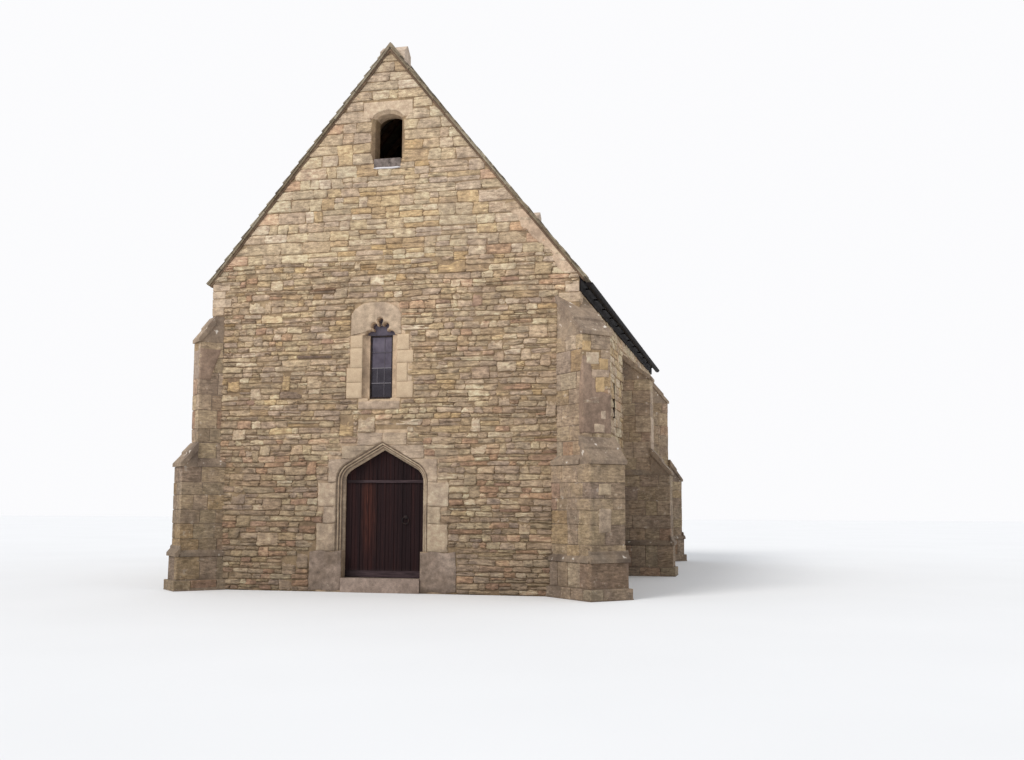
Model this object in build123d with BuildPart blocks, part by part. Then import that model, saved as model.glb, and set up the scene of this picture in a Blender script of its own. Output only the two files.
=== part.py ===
from build123d import *
from math import cos, radians, sin, sqrt, tan
import os

# Small two-bay chapel of coursed rubble with a steep tiled roof and buttressed corners.
# Millimetres, +Z up. The origin is on the ground in the middle of the plan. The entrance front faces -Y.

os.makedirs("parts", exist_ok=True)

# Plan and heights of the walls
front_width = 6200.0
body_length = 11200.0
wall_thickness = 850.0
roof_pitch = 51.2
ridge_shift = -50.0
eaves_level = 4944.0
gable_shoulder = 42.0
door_head_level = 2560.0
floor_top = 200.0
wall_head_slope_width = 200.0

# Doorway
door_x = -80.0
door_half_width = 650.0
door_springing = 1870.0
door_apex = 2240.0
haunch_radius = 225.0
dressing_depth = 300.0
door_dressing_depth = 165.0
jamb_width = 430.0
moulding_width = 115.0
moulding_depth = 140.0
moulding_foot = 640.0
# From the wall face inwards: hollow, roll, hollow, roll and hollow, each as start, middle and end,
# in fractions of the moulding's width and depth
moulding_points = (
    (0.97, 0.02), (0.90, 0.17), (0.81, 0.17),
    (0.81, 0.17), (0.70, 0.10), (0.64, 0.25),
    (0.64, 0.25), (0.61, 0.37), (0.51, 0.40),
    (0.51, 0.40), (0.41, 0.35), (0.36, 0.50),
    (0.36, 0.50), (0.33, 0.63), (0.24, 0.66),
)
rear_reveal = 140.0
threshold_top = 220.0
threshold_nosing = 40.0

# Door leaf
leaf_overlap = 45.0
leaf_thickness = 50.0
leaf_floor_gap = 10.0
leaf_frame_gap = 5.0
fillet_edge = 82.0
fillets_each_side = 4
fillet_width = 26.0
fillet_thickness = 10.0
fillet_margin = 12.0
rail_height = 42.0
bottom_rail_height = 100.0
rail_thickness = 22.0
top_rail_level = 1740.0
strap_width = 48.0
strap_thickness = 6.0
strap_length = 980.0
lower_strap_level = 560.0
upper_strap_level = 1600.0
knuckle_radius = 15.0
knuckle_gap = 3.0
pin_radius = 8.0
pin_running_gap = 0.08
pin_rise = 12.0
pin_arm_height = 20.0
ring_radius = 55.0
ring_wire = 7.0
ring_level = 1180.0
ring_board = 2.5
ring_rose_radius = 28.0
ring_rose_thickness = 13.0

# Lancet window, measured from the middle of its sill line
lancet_x = -146.0
lancet_sill = 3065.0
lancet_half_width = 192.0
lancet_light_height = 1025.0
lancet_splay_width = 100.0
lancet_splay_depth = 110.0
lancet_fillet_width = 27.0
lancet_fillet_depth = 75.0
splay_hollow = 0.62
lancet_jamb_half_width = 540.0
lancet_head_half_width = 425.0
lancet_head_height = 565.0
lancet_head_shoulder = 190.0
lancet_shoulder_fall = 142.0
lancet_sill_half_width = 350.0
lancet_sill_height = 180.0
lancet_sill_fall = 45.0
side_lobe_radius = 50.0
side_lobe_x = 98.0
side_lobe_z = 143.0
top_lobe_radius = 45.0
top_lobe_z = 230.0
foot_lobe_radius = 90.0
foot_lobe_x = 165.0
foot_lobe_z = -20.0
throat_half_width = 118.0
neck_half_width = 36.0
cusp_sinking = 9.0
cusp_sinking_depth = 14.0
glass_thickness = 8.0
embrasure_half_width = 300.0
embrasure_splay = 220.0
embrasure_margin = 60.0

# Opening high in each gable
opening_x = -70.0
opening_half_width = 233.0
opening_below_apex = 1872.0
opening_height = 657.0
opening_rise = 130.0
opening_chamfer = 45.0
opening_reveal = 280.0
opening_splay = 240.0
opening_head_half_width = 425.0
opening_head_lift = 50.0
opening_head_height = 280.0
tray_half_width = 228.0
tray_thickness = 14.0
tray_drop = 150.0
tray_depth = 260.0

# Buttresses: projections are measured outwards from the wall face or from the wall's corner
# Widths, projections and drips run from the upper stage to the plinth. Pitches are rises over runs.
lip = 40.0
lip_height = 55.0
side_lip = 28.0
foot_spread = 60.0
foot_height = 200.0
slab_step = 36.0
slab_split = 0.42
lower_pitch = 1.1
side_pitch = 1.1
diagonal_widths = (500.0, 620.0, 660.0)
diagonal_projections = (430.0, 690.0, 730.0)
diagonal_drips = (3930.0, 1975.0, 540.0)
diagonal_head_pitch = 0.84
back_upper_projection = 320.0
slender_widths = (310.0, 430.0, 470.0)
slender_projections = (230.0, 470.0, 510.0)
slender_drips = (4030.0, 1975.0, 540.0)
slender_head_pitch = 1.3
slender_slab_back = 0.0
middle_widths = (530.0, 580.0, 620.0)
middle_projections = (550.0, 920.0, 960.0)
middle_drips = (3880.0, 1975.0, 600.0)
middle_head_pitch = 0.74

# Roof
tile_thickness = 46.0
eaves_reach = 60.0
verge_reach = 50.0
verge_width = 210.0
verge_thickness = 62.0
bed_thickness = 22.0
bed_reach = 22.0
ridge_wing = 190.0
ridge_thickness = 26.0
apex_stone_depth = 330.0
front_apex_stone_length = 430.0
front_apex_stone_setback = 100.0
back_apex_stone_length = 640.0
back_apex_stone_setback = -20.0
apex_stone_rise = 150.0
apex_stone_shoulder = 130.0
rafter_width = 75.0
rafter_depth = 110.0
rafter_pitch = 610.0
plate_width = 140.0
plate_height = 80.0
plate_clearance = 4.0

# Gutter and eaves
gutter_radius = 57.0
gutter_wall = 4.0
gutter_offset = 148.0
gutter_drop = 140.0
gutter_reach = 200.0
board_height = 230.0
board_thickness = 28.0
board_gap = 4.0
bracket_pitch = 900.0
bracket_thickness = 8.0
bracket_height = 26.0
bracket_gap = 0.3
left_eaves_setback = 450.0

door_block_half_width = door_half_width + jamb_width
rear_half_width = door_half_width + rear_reveal
fillet_pitch = (door_half_width - fillet_edge) / fillets_each_side
half_width = front_width / 2
half_length = body_length / 2
inner_x = half_width - wall_thickness
inner_y = half_length - wall_thickness
rise = tan(radians(roof_pitch))
gable_apex = eaves_level + (half_width - ridge_shift) * rise
gable_level = eaves_level - gable_shoulder
opening_sill = gable_apex - opening_below_apex
opening_springing = opening_sill + opening_height
opening_head_bottom = opening_springing + opening_head_lift
opening_head_top = opening_head_bottom + opening_head_height
apex_stone_ridge = gable_apex + apex_stone_rise
front_face = -half_length
back_of_dressing = front_face + door_dressing_depth
door_slope = (door_apex - door_springing) / door_half_width
bay_middle = half_length / 2
run_per_thickness = 1 / cos(radians(roof_pitch))
lancet_top = lancet_sill + lancet_light_height

FRONT, BACK = -1, 1
LEFT, RIGHT = -1, 1


def save(part, name):
    """Labels one finished piece and writes its file."""
    part.label = name
    export_step(part, f"parts/{name}.step")


def roof_under(x):
    """Height of the underside of the roof above plan position x."""
    return gable_apex - abs(x - ridge_shift) * rise


def box_between(x0, x1, y0, y1, z0, z1, mode=Mode.ADD):
    """A block between two corners, in the block that is open."""
    middle = ((x0 + x1) / 2, (y0 + y1) / 2, (z0 + z1) / 2)
    with Locations(middle):
        Box(abs(x1 - x0), abs(y1 - y0), abs(z1 - z0), mode=mode)


def wall_plane(side, depth=0.0, x=0.0):
    """Plane on an outer wall face, local x to the right seen from outside, local y up, normal outwards."""
    if side == "front":
        return Plane(origin=(x, front_face + depth, 0), x_dir=(1, 0, 0), z_dir=(0, -1, 0))
    if side == "back":
        return Plane(origin=(x, half_length - depth, 0), x_dir=(-1, 0, 0), z_dir=(0, 1, 0))
    if side == "right":
        return Plane(origin=(half_width - depth, x, 0), x_dir=(0, 1, 0), z_dir=(1, 0, 0))
    return Plane(origin=(-half_width + depth, x, 0), x_dir=(0, -1, 0), z_dir=(-1, 0, 0))


# Every lancet as (wall, position along the wall)
lancets = [("front", lancet_x), ("back", lancet_x)]
lancets += [(side, y) for side in ("left", "right") for y in (-bay_middle, bay_middle)]


# Outlines of the doorway and the windows


def door_outline(grow, foot):
    """The doorway's outline about its middle line, grown outwards, from foot up to the apex."""
    side = door_half_width + grow
    stretch = grow * sqrt(1 + door_slope**2)
    corner = door_springing + stretch - grow * door_slope
    apex = door_apex + stretch
    with BuildSketch() as outline:
        with BuildLine():
            edge = Polyline((-side, foot), (-side, corner), (0, apex), (side, corner), (side, foot))
            Line(edge @ 1, edge @ 0)
        make_face()
        haunches = outline.vertices().group_by(Axis.Y)[1]
        fillet(haunches, haunch_radius + grow)
    return outline.sketch


def cusped_outline(grow):
    """The cusped head of a lancet above the top of its light, as lobes that run together."""
    with BuildSketch() as outline:
        with Locations((0, side_lobe_z / 2)):
            Rectangle(2 * (throat_half_width + grow), side_lobe_z)
        for reach in (-1, 1):
            with Locations((reach * side_lobe_x, side_lobe_z)):
                Circle(side_lobe_radius + grow)
            with Locations((reach * foot_lobe_x, foot_lobe_z)):
                Circle(foot_lobe_radius + grow)
        with Locations((0, (side_lobe_z + top_lobe_z) / 2)):
            Rectangle(2 * (neck_half_width + grow), top_lobe_z - side_lobe_z)
        with Locations((0, top_lobe_z)):
            Circle(top_lobe_radius + grow)
        with Locations((0, top_lobe_z)):
            Rectangle(4 * lancet_half_width, 4 * lancet_head_height, mode=Mode.INTERSECT)
        with Locations((0, -lancet_head_height / 2)):
            Rectangle(4 * lancet_half_width, lancet_head_height, mode=Mode.SUBTRACT)
    return outline.sketch


def lancet_head_outline():
    """The single head stone with its cut shoulders, from the top of the light upwards."""
    inset = lancet_head_half_width - lancet_head_shoulder
    shoulder = lancet_head_height - lancet_shoulder_fall
    with BuildSketch() as outline:
        with BuildLine():
            Polyline(
                (-lancet_head_half_width, 0),
                (lancet_head_half_width, 0),
                (lancet_head_half_width, shoulder),
                (inset, lancet_head_height),
                (-inset, lancet_head_height),
                (-lancet_head_half_width, shoulder),
                (-lancet_head_half_width, 0),
            )
        make_face()
    return outline.sketch


def opening_outline(grow):
    """The gable opening about its middle line, grown outwards at its sides and arch."""
    side = opening_half_width + grow
    with BuildSketch() as outline:
        with Locations((0, (opening_sill + opening_springing) / 2)):
            Rectangle(2 * side, opening_springing - opening_sill)
        with Locations((0, opening_springing)):
            Ellipse(side, opening_rise + grow)
        with Locations((0, opening_sill - opening_height)):
            Rectangle(4 * side, 2 * opening_height, mode=Mode.SUBTRACT)
    return outline.sketch


# Solids that cut the walls


def lancet_pocket(side, x):
    """Room in a wall for one dressed lancet, with the splayed embrasure behind it."""
    plane = wall_plane(side, 0, x)
    with BuildPart() as pocket:
        with BuildSketch(plane):
            with Locations((0, lancet_top)):
                add(lancet_head_outline())
            with Locations((0, lancet_sill + lancet_light_height / 2)):
                Rectangle(2 * lancet_jamb_half_width, lancet_light_height)
            with Locations((0, lancet_sill - lancet_sill_height / 2)):
                Rectangle(2 * lancet_sill_half_width, lancet_sill_height)
        extrude(amount=-dressing_depth)
        middle = lancet_sill + lancet_light_height / 2
        height = lancet_light_height + lancet_head_height
        with BuildSketch(wall_plane(side, dressing_depth, x)):
            with Locations((0, middle + embrasure_margin)):
                Rectangle(2 * embrasure_half_width, height - 2 * embrasure_margin)
        with BuildSketch(wall_plane(side, wall_thickness, x)):
            with Locations((0, middle + embrasure_margin)):
                Rectangle(2 * (embrasure_half_width + embrasure_splay), height)
        loft()
    return pocket.part


def opening_cut(side):
    """The chamfered hole through a gable, splayed wider behind its reveal."""
    with BuildPart() as cut:
        with BuildSketch(wall_plane(side, 0, opening_x)):
            add(opening_outline(0))
        extrude(amount=-opening_reveal)
        with BuildSketch(wall_plane(side, opening_reveal, opening_x)):
            add(opening_outline(0))
        with BuildSketch(wall_plane(side, wall_thickness, opening_x)):
            add(opening_outline(opening_splay))
        loft()
        with BuildSketch(wall_plane(side, 0, opening_x)):
            add(opening_outline(opening_chamfer))
        with BuildSketch(wall_plane(side, opening_chamfer, opening_x)):
            add(opening_outline(0))
        loft()
    return cut.part


def opening_head_block(side):
    """The block of the head stone over a gable opening."""
    with BuildPart() as block:
        with BuildSketch(wall_plane(side, 0, opening_x)):
            with Locations((0, (opening_head_bottom + opening_head_top) / 2)):
                Rectangle(2 * opening_head_half_width, opening_head_top - opening_head_bottom)
        extrude(amount=-dressing_depth)
    return block.part


def opening_head(side):
    """The head stone over a gable opening, cut to the opening's chamfered arch."""
    with BuildPart() as head:
        add(opening_head_block(side))
        add(opening_cut(side), mode=Mode.SUBTRACT)
    return head.part


def moulding_cut(hand):
    """What the run of mouldings takes off one half of the door frame: two rolls between three hollows."""
    start = (door_x - door_half_width, front_face, moulding_foot)
    haunch = (door_x - door_half_width, front_face, door_springing)
    beyond = (door_x + moulding_width, front_face, door_apex + moulding_width * door_slope)
    w = moulding_width
    d = moulding_depth
    points = [(across * w, -depth * d) for across, depth in moulding_points]
    with BuildPart() as cut:
        with BuildLine() as path:
            FilletPolyline(start, haunch, beyond, radius=haunch_radius)
        with BuildSketch(Plane(origin=start, x_dir=(-1, 0, 0), z_dir=(0, 0, 1))):
            with BuildLine():
                Polyline((0, -d), (0, lip), (w, lip), (w, 0), points[0])
                for first in range(0, len(points), 3):
                    ThreePointArc(*points[first:first + 3])
                Line(points[-1], (0, -d))
            make_face()
        sweep(path=path.line)
        split(bisect_by=Plane(origin=(door_x, 0, 0), z_dir=(-1, 0, 0)), keep=Keep.TOP)
        if hand == RIGHT:
            mirror(about=Plane(origin=(door_x, 0, 0), z_dir=(1, 0, 0)), mode=Mode.REPLACE)
    return cut.part


# Walls


def front_wall_side(hand):
    """Front wall beside the doorway, rebated for the dressed jamb and set back for the rear arch."""
    outer = hand * half_width
    stone = door_x + hand * door_block_half_width
    rear = door_x + hand * rear_half_width
    with BuildPart() as wall:
        with BuildSketch():
            with BuildLine():
                Polyline(
                    (outer, front_face),
                    (stone, front_face),
                    (stone, back_of_dressing),
                    (rear, back_of_dressing),
                    (rear, front_face + wall_thickness),
                    (outer, front_face + wall_thickness),
                    (outer, front_face),
                )
            make_face()
        extrude(amount=door_head_level)
    return wall.part


save(front_wall_side(LEFT), "front_wall_left")
save(front_wall_side(RIGHT), "front_wall_right")

with BuildPart() as front_wall_over_door:
    box_between(-half_width, half_width, front_face, -inner_y, door_head_level, gable_level)
    add(lancet_pocket("front", lancet_x), mode=Mode.SUBTRACT)
save(front_wall_over_door.part, "front_wall_over_door")

with BuildPart() as back_wall:
    box_between(-half_width, half_width, inner_y, half_length, 0, gable_level)
    add(lancet_pocket("back", lancet_x), mode=Mode.SUBTRACT)
save(back_wall.part, "back_wall")

for side, name in (("front", "front_gable"), ("back", "back_gable")):
    with BuildPart() as gable:
        with BuildSketch(wall_plane("front", 0)):
            with BuildLine():
                Polyline(
                    (-half_width, gable_level),
                    (half_width, gable_level),
                    (half_width, roof_under(half_width)),
                    (ridge_shift, gable_apex),
                    (-half_width, roof_under(-half_width)),
                    (-half_width, gable_level),
                )
            make_face()
        extrude(amount=-wall_thickness)
        if side == "back":
            mirror(about=Plane.XZ, mode=Mode.REPLACE)
        add(opening_cut(side), mode=Mode.SUBTRACT)
        add(opening_head_block(side), mode=Mode.SUBTRACT)
    save(gable.part, name)


def side_wall_bay(hand, end):
    """One bay of a side wall, its head cut to the roof's slope at the outer edge."""
    outer = hand * half_width
    inner = hand * inner_x
    crest = outer - hand * wall_head_slope_width
    with BuildPart() as bay:
        with BuildSketch(Plane.XZ):
            with BuildLine():
                Polyline(
                    (outer, 0),
                    (outer, roof_under(outer)),
                    (crest, roof_under(crest)),
                    (inner, roof_under(crest)),
                    (inner, 0),
                    (outer, 0),
                )
            make_face()
        extrude(amount=-inner_y)
        if end == FRONT:
            mirror(about=Plane.XZ, mode=Mode.REPLACE)
        side = "left" if hand == LEFT else "right"
        add(lancet_pocket(side, end * bay_middle), mode=Mode.SUBTRACT)
    return bay.part


for hand, hand_name in ((LEFT, "left"), (RIGHT, "right")):
    for end, end_name in ((FRONT, "front"), (BACK, "back")):
        save(side_wall_bay(hand, end), f"{hand_name}_wall_{end_name}_bay")

# Floor and threshold

with BuildPart() as floor:
    box_between(-inner_x, inner_x, -inner_y, inner_y, 0, floor_top)
save(floor.part, "floor")

with BuildPart() as threshold:
    box_between(door_x - door_half_width, door_x + door_half_width, front_face - threshold_nosing,
                back_of_dressing, 0, threshold_top)
    box_between(door_x - rear_half_width, door_x + rear_half_width, back_of_dressing,
                -inner_y, 0, threshold_top)
save(threshold.part, "threshold")

# Door frame


def door_jamb(hand):
    """Jamb below the springing: plain at its foot, moulded above."""
    face = door_x + hand * door_half_width
    with BuildPart() as jamb:
        box_between(face, door_x + hand * door_block_half_width, front_face, back_of_dressing,
                    0, door_springing)
        add(moulding_cut(hand), mode=Mode.SUBTRACT)
    return jamb.part


save(door_jamb(LEFT), "door_jamb_left")
save(door_jamb(RIGHT), "door_jamb_right")

with BuildPart() as door_arch:
    box_between(door_x - door_block_half_width, door_x + door_block_half_width, front_face, back_of_dressing,
                door_springing, door_head_level)
    with BuildSketch(wall_plane("front", 0, door_x)):
        add(door_outline(0, 0))
    extrude(amount=-door_dressing_depth, mode=Mode.SUBTRACT)
    add(moulding_cut(LEFT), mode=Mode.SUBTRACT)
    add(moulding_cut(RIGHT), mode=Mode.SUBTRACT)
save(door_arch.part, "door_arch")

# Lancets


def lancet_head(side, x):
    """Head stone with the cusped light cut through and a shallow sinking round the cusps."""
    with BuildPart() as head:
        with BuildSketch(wall_plane(side, 0, x)):
            with Locations((0, lancet_top)):
                add(lancet_head_outline())
        extrude(amount=-dressing_depth)
        with BuildSketch(wall_plane(side, 0, x)):
            with Locations((0, lancet_top)):
                add(cusped_outline(cusp_sinking))
        extrude(amount=-cusp_sinking_depth, mode=Mode.SUBTRACT)
        with BuildSketch(wall_plane(side, 0, x)):
            with Locations((0, lancet_top)):
                add(cusped_outline(0))
        extrude(amount=-dressing_depth, mode=Mode.SUBTRACT)
    return head.part


def lancet_jambs(side, x):
    """Two jambs with a hollow chamfer and a fillet, the glass line behind it."""
    near = lancet_half_width
    step = lancet_half_width + lancet_fillet_width
    far = lancet_half_width + lancet_splay_width
    belly_x = step + splay_hollow * (far - step)
    belly_y = splay_hollow * lancet_fillet_depth
    bottom = wall_plane(side, 0, x)
    plan = Plane(origin=bottom.from_local_coords((0, lancet_sill, 0)), x_dir=bottom.x_dir, z_dir=(0, 0, 1))
    inward = 1 if plan.to_local_coords(bottom.origin - bottom.z_dir).Y > 0 else -1
    with BuildPart() as jambs:
        for reach in (-1, 1):
            with BuildSketch(plan):
                with BuildLine():
                    Polyline(
                        (reach * far, 0),
                        (reach * lancet_jamb_half_width, 0),
                        (reach * lancet_jamb_half_width, inward * dressing_depth),
                        (reach * near, inward * dressing_depth),
                        (reach * near, inward * lancet_fillet_depth),
                        (reach * step, inward * lancet_fillet_depth),
                    )
                    ThreePointArc(
                        (reach * step, inward * lancet_fillet_depth),
                        (reach * belly_x, inward * belly_y),
                        (reach * far, 0),
                    )
                make_face()
            extrude(amount=lancet_light_height)
    return jambs.part


def lancet_sill_stone(side, x):
    """Sill stone, its top falling outwards in front of the glass."""
    plane = wall_plane(side, 0, x)
    with BuildPart() as sill:
        with BuildSketch(plane):
            with Locations((0, lancet_sill - lancet_sill_height / 2)):
                Rectangle(2 * lancet_sill_half_width, lancet_sill_height)
        extrude(amount=-dressing_depth)
        across = Plane(origin=plane.from_local_coords((-lancet_half_width, lancet_sill, 0)),
                       x_dir=plane.z_dir, z_dir=plane.x_dir)
        upward = 1 if across.y_dir.Z > 0 else -1
        with BuildSketch(across):
            with BuildLine():
                Polyline((0, 0), (-lancet_splay_depth, 0), (0, -upward * lancet_sill_fall), (0, 0))
            make_face()
        extrude(amount=2 * lancet_half_width, mode=Mode.SUBTRACT)
    return sill.part


def lancet_glass(side, x):
    """One sheet of glass behind the chamfer, cut to the light and its cusped head."""
    with BuildPart() as glass:
        with BuildSketch(wall_plane(side, lancet_splay_depth, x)):
            with Locations((0, lancet_sill + lancet_light_height / 2)):
                Rectangle(2 * lancet_half_width, lancet_light_height)
            with Locations((0, lancet_top)):
                add(cusped_outline(0))
        extrude(amount=-glass_thickness)
    return glass.part


for name, maker in (
    ("lancet_heads", lancet_head),
    ("lancet_jambs", lancet_jambs),
    ("lancet_sills", lancet_sill_stone),
    ("lancet_glass", lancet_glass),
):
    with BuildPart() as pieces:
        for side, x in lancets:
            add(maker(side, x))
    save(pieces.part, name)

# Gable openings

with BuildPart() as opening_heads:
    for side in ("front", "back"):
        add(opening_head(side))
save(opening_heads.part, "opening_heads")

with BuildPart() as lead_trays:
    for side in ("front", "back"):
        plane = wall_plane(side, 0, opening_x)
        edge = plane.from_local_coords((-tray_half_width, opening_sill, 0))
        across = Plane(origin=edge, x_dir=plane.z_dir, z_dir=plane.x_dir)
        down = -1 if across.y_dir.Z > 0 else 1
        with BuildSketch(across):
            with BuildLine():
                Polyline(
                    (-tray_depth, 0),
                    (0, 0),
                    (0, down * tray_drop),
                    (tray_thickness, down * tray_drop),
                    (tray_thickness, -down * tray_thickness),
                    (-tray_depth, -down * tray_thickness),
                    (-tray_depth, 0),
                )
            make_face()
        extrude(amount=2 * tray_half_width)
save(lead_trays.part, "lead_trays")

# Buttresses


def weathering(nose, back, z_low, pitch, width):
    """Two sloping slabs over a set-off, the upper one stepped on the lower, with a drip along the nose."""
    split_point = nose - slab_split * min(nose - back, nose)
    top = z_low + lip_height
    joint = top + (nose + lip - split_point) * pitch
    crest = joint + slab_step + (split_point - back) * pitch
    underside = z_low + (nose - back) * pitch
    with BuildPart() as slabs:
        with BuildSketch(Plane.XZ.offset(-width / 2 - side_lip)):
            with BuildLine():
                Polyline(
                    (nose, z_low),
                    (nose + lip, z_low),
                    (nose + lip, top),
                    (split_point, joint),
                    (split_point, joint + slab_step),
                    (back, crest),
                    (back, underside),
                    (nose, z_low),
                )
            make_face()
        extrude(amount=width + 2 * side_lip)
        with BuildSketch(Plane.XZ.offset(-width / 2)):
            with BuildLine():
                Polyline((nose, z_low), (back, underside), (back, z_low), (nose, z_low))
            make_face()
        extrude(amount=width)
    return slabs.part


def side_weathering(root, reach, z_low, width, upper_width):
    """Slopes on both sides of a stage, up to the narrower one that stands on it."""
    edge = width / 2 + side_lip
    top = z_low + lip_height
    crest = top + (edge - upper_width / 2) * side_pitch
    with BuildPart() as slopes:
        with BuildSketch(Plane.YZ.offset(-root)):
            with BuildLine():
                Polyline(
                    (-edge, z_low),
                    (edge, z_low),
                    (edge, top),
                    (upper_width / 2, crest),
                    (-upper_width / 2, crest),
                    (-edge, top),
                    (-edge, z_low),
                )
            make_face()
        extrude(amount=root + reach)
    return slopes.part


def stage(root, projection, width, z_low, z_high):
    """One straight stage of a buttress."""
    with BuildPart() as block:
        box_between(-root, projection, -width / 2, width / 2, z_low, z_high)
    return block.part


def buttress(widths, projections, drips, head_pitch, root, slab_back):
    """A two-stage buttress on a plinth, its root at x = 0 and its outward direction along +X.

    The head's slabs slope up to slab_back and run on level from there to the root.
    """
    upper, lower, plinth = projections
    level = drips[0] + lip_height + (upper + lip - slab_back) * head_pitch + slab_step
    with BuildPart() as body:
        add(stage(root, upper, widths[0], drips[1], drips[0]))
        add(weathering(upper, slab_back, drips[0], head_pitch, widths[0]))
        if slab_back > -root:
            add(stage(root, slab_back, widths[0], drips[0], level))
        add(stage(root, lower, widths[1], drips[2], drips[1]))
        add(weathering(lower, upper, drips[1], lower_pitch, widths[1]))
        add(side_weathering(root, upper, drips[1], widths[1], widths[0]))
        add(stage(root, plinth, widths[2], 0, drips[2]))
        add(weathering(plinth, lower, drips[2], lower_pitch, widths[2]))
        add(side_weathering(root, lower, drips[2], widths[2], widths[1]))
        with BuildSketch():
            with Locations(((plinth + foot_spread - root) / 2, 0)):
                Rectangle(plinth + foot_spread + root, widths[2] + 2 * foot_spread)
        with BuildSketch(Plane.XY.offset(foot_height)):
            with Locations(((plinth - root) / 2, 0)):
                Rectangle(plinth + root, widths[2])
        loft()
    return body.part


def place_buttress(shape, x, y, turn):
    """A buttress turned outwards at a corner or wall, with the walls cut out of its root."""
    with BuildPart() as placed:
        with Locations(Location((x, y, 0), (0, 0, turn))):
            add(shape)
        box_between(-half_width, half_width, -half_length, half_length, 0, gable_apex,
                    mode=Mode.SUBTRACT)
    return placed.part


# Each corner's widths, projections, drips, head pitch, root and the place where its slabs end
back_projections = (back_upper_projection, *diagonal_projections[1:])
diagonal_root = diagonal_widths[2] / 2 + 2 * foot_spread
slender_root = slender_widths[2] / 2 + 2 * foot_spread
slender = (slender_widths, slender_projections, slender_drips,
           slender_head_pitch, slender_root, slender_slab_back)
full = (diagonal_widths, diagonal_projections, diagonal_drips,
        diagonal_head_pitch, diagonal_root, -diagonal_root)
short = (diagonal_widths, back_projections, diagonal_drips,
         diagonal_head_pitch, diagonal_root, -diagonal_root)

for hand, end, shape, name in (
    (LEFT, FRONT, slender, "front_left_buttress"),
    (RIGHT, FRONT, full, "front_right_buttress"),
    (LEFT, BACK, short, "back_left_buttress"),
    (RIGHT, BACK, short, "back_right_buttress"),
):
    turn = end * (90 - hand * 45)
    save(place_buttress(buttress(*shape), hand * half_width, end * half_length, turn), name)

for hand, name in ((LEFT, "left_middle_buttress"), (RIGHT, "right_middle_buttress")):
    shape = buttress(middle_widths, middle_projections, middle_drips, middle_head_pitch, 0, 0)
    save(place_buttress(shape, hand * half_width, 0, 90 - hand * 90), name)

# Roof


def slope_strip(hand, lift, thickness, reach, y_from, y_to):
    """One roof slope's slab, lying lift above the slope line of the walls."""
    up_low = lift * run_per_thickness
    up_high = (lift + thickness) * run_per_thickness
    edge = hand * (half_width + reach)
    tip = edge + hand * thickness * sin(radians(roof_pitch))
    with BuildPart() as strip:
        with BuildSketch(Plane.XZ.offset(-y_from)):
            with BuildLine():
                Polyline(
                    (ridge_shift, gable_apex + up_low),
                    (edge, roof_under(edge) + up_low),
                    (tip, roof_under(tip) + up_high),
                    (ridge_shift, gable_apex + up_high),
                    (ridge_shift, gable_apex + up_low),
                )
            make_face()
        extrude(amount=y_from - y_to)
    return strip.part


verge_line = half_length + verge_reach
field_line = verge_line - verge_width

for hand, name in ((LEFT, "roof_left"), (RIGHT, "roof_right")):
    save(slope_strip(hand, 0, tile_thickness, eaves_reach, -field_line, field_line), name)

for end, name in ((FRONT, "verge_front"), (BACK, "verge_back")):
    with BuildPart() as verge:
        for hand in (LEFT, RIGHT):
            add(slope_strip(hand, 0, verge_thickness, eaves_reach, end * field_line, end * verge_line))
            bed_line = end * (half_length + bed_reach)
            add(slope_strip(hand, -bed_thickness, bed_thickness, 0, end * half_length, bed_line))
    save(verge.part, name)


def apex_stone(end, length, setback):
    """Saddle-backed stone astride the ridge near a verge, its own ridge running across."""
    near = half_length - setback
    far = near - apex_stone_depth
    middle = (near + far) / 2
    start = ridge_shift - length / 2
    shoulder = apex_stone_ridge - apex_stone_shoulder
    bottom = gable_apex - length * rise
    with BuildPart() as stone:
        with BuildSketch(Plane.YZ.offset(start)):
            with BuildLine():
                Polyline(
                    (end * near, bottom),
                    (end * near, shoulder),
                    (end * middle, apex_stone_ridge),
                    (end * far, shoulder),
                    (end * far, bottom),
                    (end * near, bottom),
                )
            make_face()
        extrude(amount=length)
        roof_top = gable_apex + verge_thickness * run_per_thickness
        drop = 2 * length * rise
        with BuildSketch(Plane.XZ.offset(-2 * half_length)):
            with BuildLine():
                Polyline(
                    (ridge_shift, roof_top),
                    (ridge_shift - 2 * length, roof_top - drop),
                    (ridge_shift + 2 * length, roof_top - drop),
                    (ridge_shift, roof_top),
                )
            make_face()
        extrude(amount=4 * half_length, mode=Mode.SUBTRACT)
    return stone.part


with BuildPart() as apex_stones:
    add(apex_stone(FRONT, front_apex_stone_length, front_apex_stone_setback))
    add(apex_stone(BACK, back_apex_stone_length, back_apex_stone_setback))
save(apex_stones.part, "apex_stones")

ridge_front = front_apex_stone_setback + apex_stone_depth - half_length
ridge_back = half_length - back_apex_stone_setback - apex_stone_depth
with BuildPart() as ridge_capping:
    wing = ridge_wing * cos(radians(roof_pitch))
    foot = gable_apex + tile_thickness * run_per_thickness
    crown = foot + ridge_thickness * run_per_thickness
    with BuildSketch(Plane.XZ.offset(-ridge_back)):
        with BuildLine():
            Polyline(
                (ridge_shift, foot),
                (ridge_shift + wing, foot - wing * rise),
                (ridge_shift + wing, crown - wing * rise),
                (ridge_shift, crown),
                (ridge_shift - wing, crown - wing * rise),
                (ridge_shift - wing, foot - wing * rise),
                (ridge_shift, foot),
            )
        make_face()
    extrude(amount=ridge_back - ridge_front)
save(ridge_capping.part, "ridge_capping")

# Roof timbers


def plate_top(hand):
    """Level of a wall plate's top on the flat head of a side wall."""
    return roof_under(hand * (half_width - wall_head_slope_width)) + plate_height


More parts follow.
